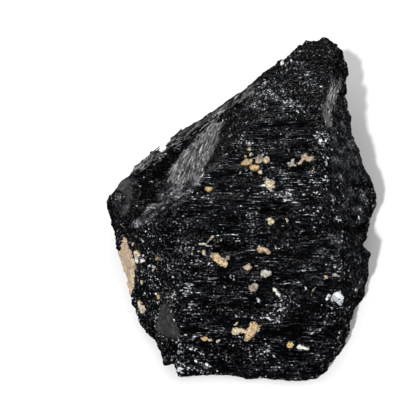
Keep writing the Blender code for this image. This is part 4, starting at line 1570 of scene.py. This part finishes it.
# outline, how even, how many, the way, half lengths and widths in mm, how pale, and how rarely
SPLINTERS = [
    (SATIN_FACET, 0.8, 230, (24, -56), (0.5, 1.9), (0.05, 0.16), 0.8, 1.2),
    (SATIN_STRIP, 0.7, 80, (5, -38), (0.5, 1.6), (0.04, 0.12), 0.7, 1.4),
    (CREST_LEDGES, 0.0, 220, (68, -52), (0.8, 2.6), (0.06, 0.30), 0.50, 2.2),
    (LONG_STREAKS, 0.2, 40, (68, -52), (0.8, 2.2), (0.03, 0.06), 0.8, 1.5),
]
SPLINTER_TILT = 20.0  # degrees
SPLINTER_TURN = 0.20  # how far to the side they may point
SPLINTER_SEED = 8
PALEST_SPLINTER = 0.50
WELL_INSIDE = 0.5  # pixels
NEARBY = ((0, 0), (3, 0), (-3, 0), (0, 3), (0, -3), (1, 0), (-1, 0), (0, 1), (0, -1))  # pixels
print(sum(count for _, _, count, *_ in SPLINTERS), "splinters are wanted")


# %% Splinters
def evenness(px, py):
    """The cosine of the most that the skin turns near this place, or -1 beside the lump."""
    hits = [skin_tree.ray_cast(CAMERA_AT, ray_through(px + x, py + y)) for x, y in NEARBY]
    facing = [hit[1] for hit in hits if hit[0] is not None]
    if len(facing) < len(NEARBY):
        return -1.0
    return min(facing[0].dot(normal) for normal in facing)


def inside_outline(rng, corners, least_even):
    """A random place of the picture inside an outline, on a part of the skin this even."""
    low, high = np.min(corners, axis=0), np.max(corners, axis=0)
    while True:
        spot = np.array([[rng.uniform(low[axis], high[axis]) for axis in range(2)]])
        if depth_inside(spot, corners)[0] > WELL_INSIDE and evenness(*spot[0]) > least_even:
            return spot[0]


def splinter(rng, px, py, way, lengths, widths, pale, rarity):
    """One splinter at this place, standing a little off the surface."""
    place, normal = touched(px, py)
    step = Vector(way).normalized()
    along = touched(px + step.x, py + step.y)[0] - touched(px - step.x, py - step.y)[0]
    side = along.normalized().cross(normal)
    lean = math.tan(math.radians(SPLINTER_TILT))
    facing = (normal + rng.uniform(-lean, lean) * side).normalized()
    along = along.normalized() + rng.uniform(-SPLINTER_TURN, SPLINTER_TURN) * side
    along += rng.uniform(-0.5, 1.0) * SPLINTER_TURN * normal
    along = (along - along.dot(facing) * facing).normalized()
    half_width, half_length = rng.uniform(*widths), rng.uniform(*lengths)
    reach = (abs(along.z) * half_length + 1.5 * half_width) * MM
    return {
        "place": under_top(place + half_width * MM * normal, reach),
        "facing": facing,
        "along": along,
        "half_size": MM * Vector((half_length, half_width, 0.5 * half_width)),
        "shade": pale * rng.random() ** rarity,
    }


# %% The splinters' finish
SILK = (1.0, 1.0, 1.03)
SILK_DARKEST = 0.002
SILK_ROUGHNESS = 0.42


def satin():
    """Split tourmaline: silky, from black to grey, the grey partly a painted sheen."""
    material, tree, shader = new_material("satin_tourmaline")
    along = drawn_out(tree, here_in_mm(tree), FIBRE_AXIS, 6.0)
    streaks = maths(tree, "MINIMUM", specks(tree, along, 0.25, 3.0), 1.6)
    amount = maths(tree, "MULTIPLY", attribute(tree, "shade"), streaks)
    grey = maths(tree, "MULTIPLY_ADD", amount, PALEST_SPLINTER, SILK_DARKEST)
    tree.links.new(scaled(tree, SILK, grey), shader.inputs["Base Color"])
    shader.inputs["Roughness"].default_value = SILK_ROUGHNESS
    shader.inputs["IOR"].default_value = SCHORL_IOR
    shader.inputs["Specular IOR Level"].default_value = WORN_GLOSS
    return material


rng = random.Random(SPLINTER_SEED)
rows = []
for corners, least_even, count, *finish in SPLINTERS:
    for _ in range(count):
        rows.append(splinter(rng, *inside_outline(rng, corners, least_even), *finish))
splinters = grown("tourmaline_splinters", points_mesh("splinter_spots", rows), plate_tree(satin()))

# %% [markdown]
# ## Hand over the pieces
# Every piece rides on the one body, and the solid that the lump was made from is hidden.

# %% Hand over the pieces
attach(lump, "root")
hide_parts(LUMP)
for piece, slot in (
    (grains, "feldspar"), (flakes, "mica"), (plates, "mica"), (splinters, "black_tourmaline"),
):
    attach(piece, "root")
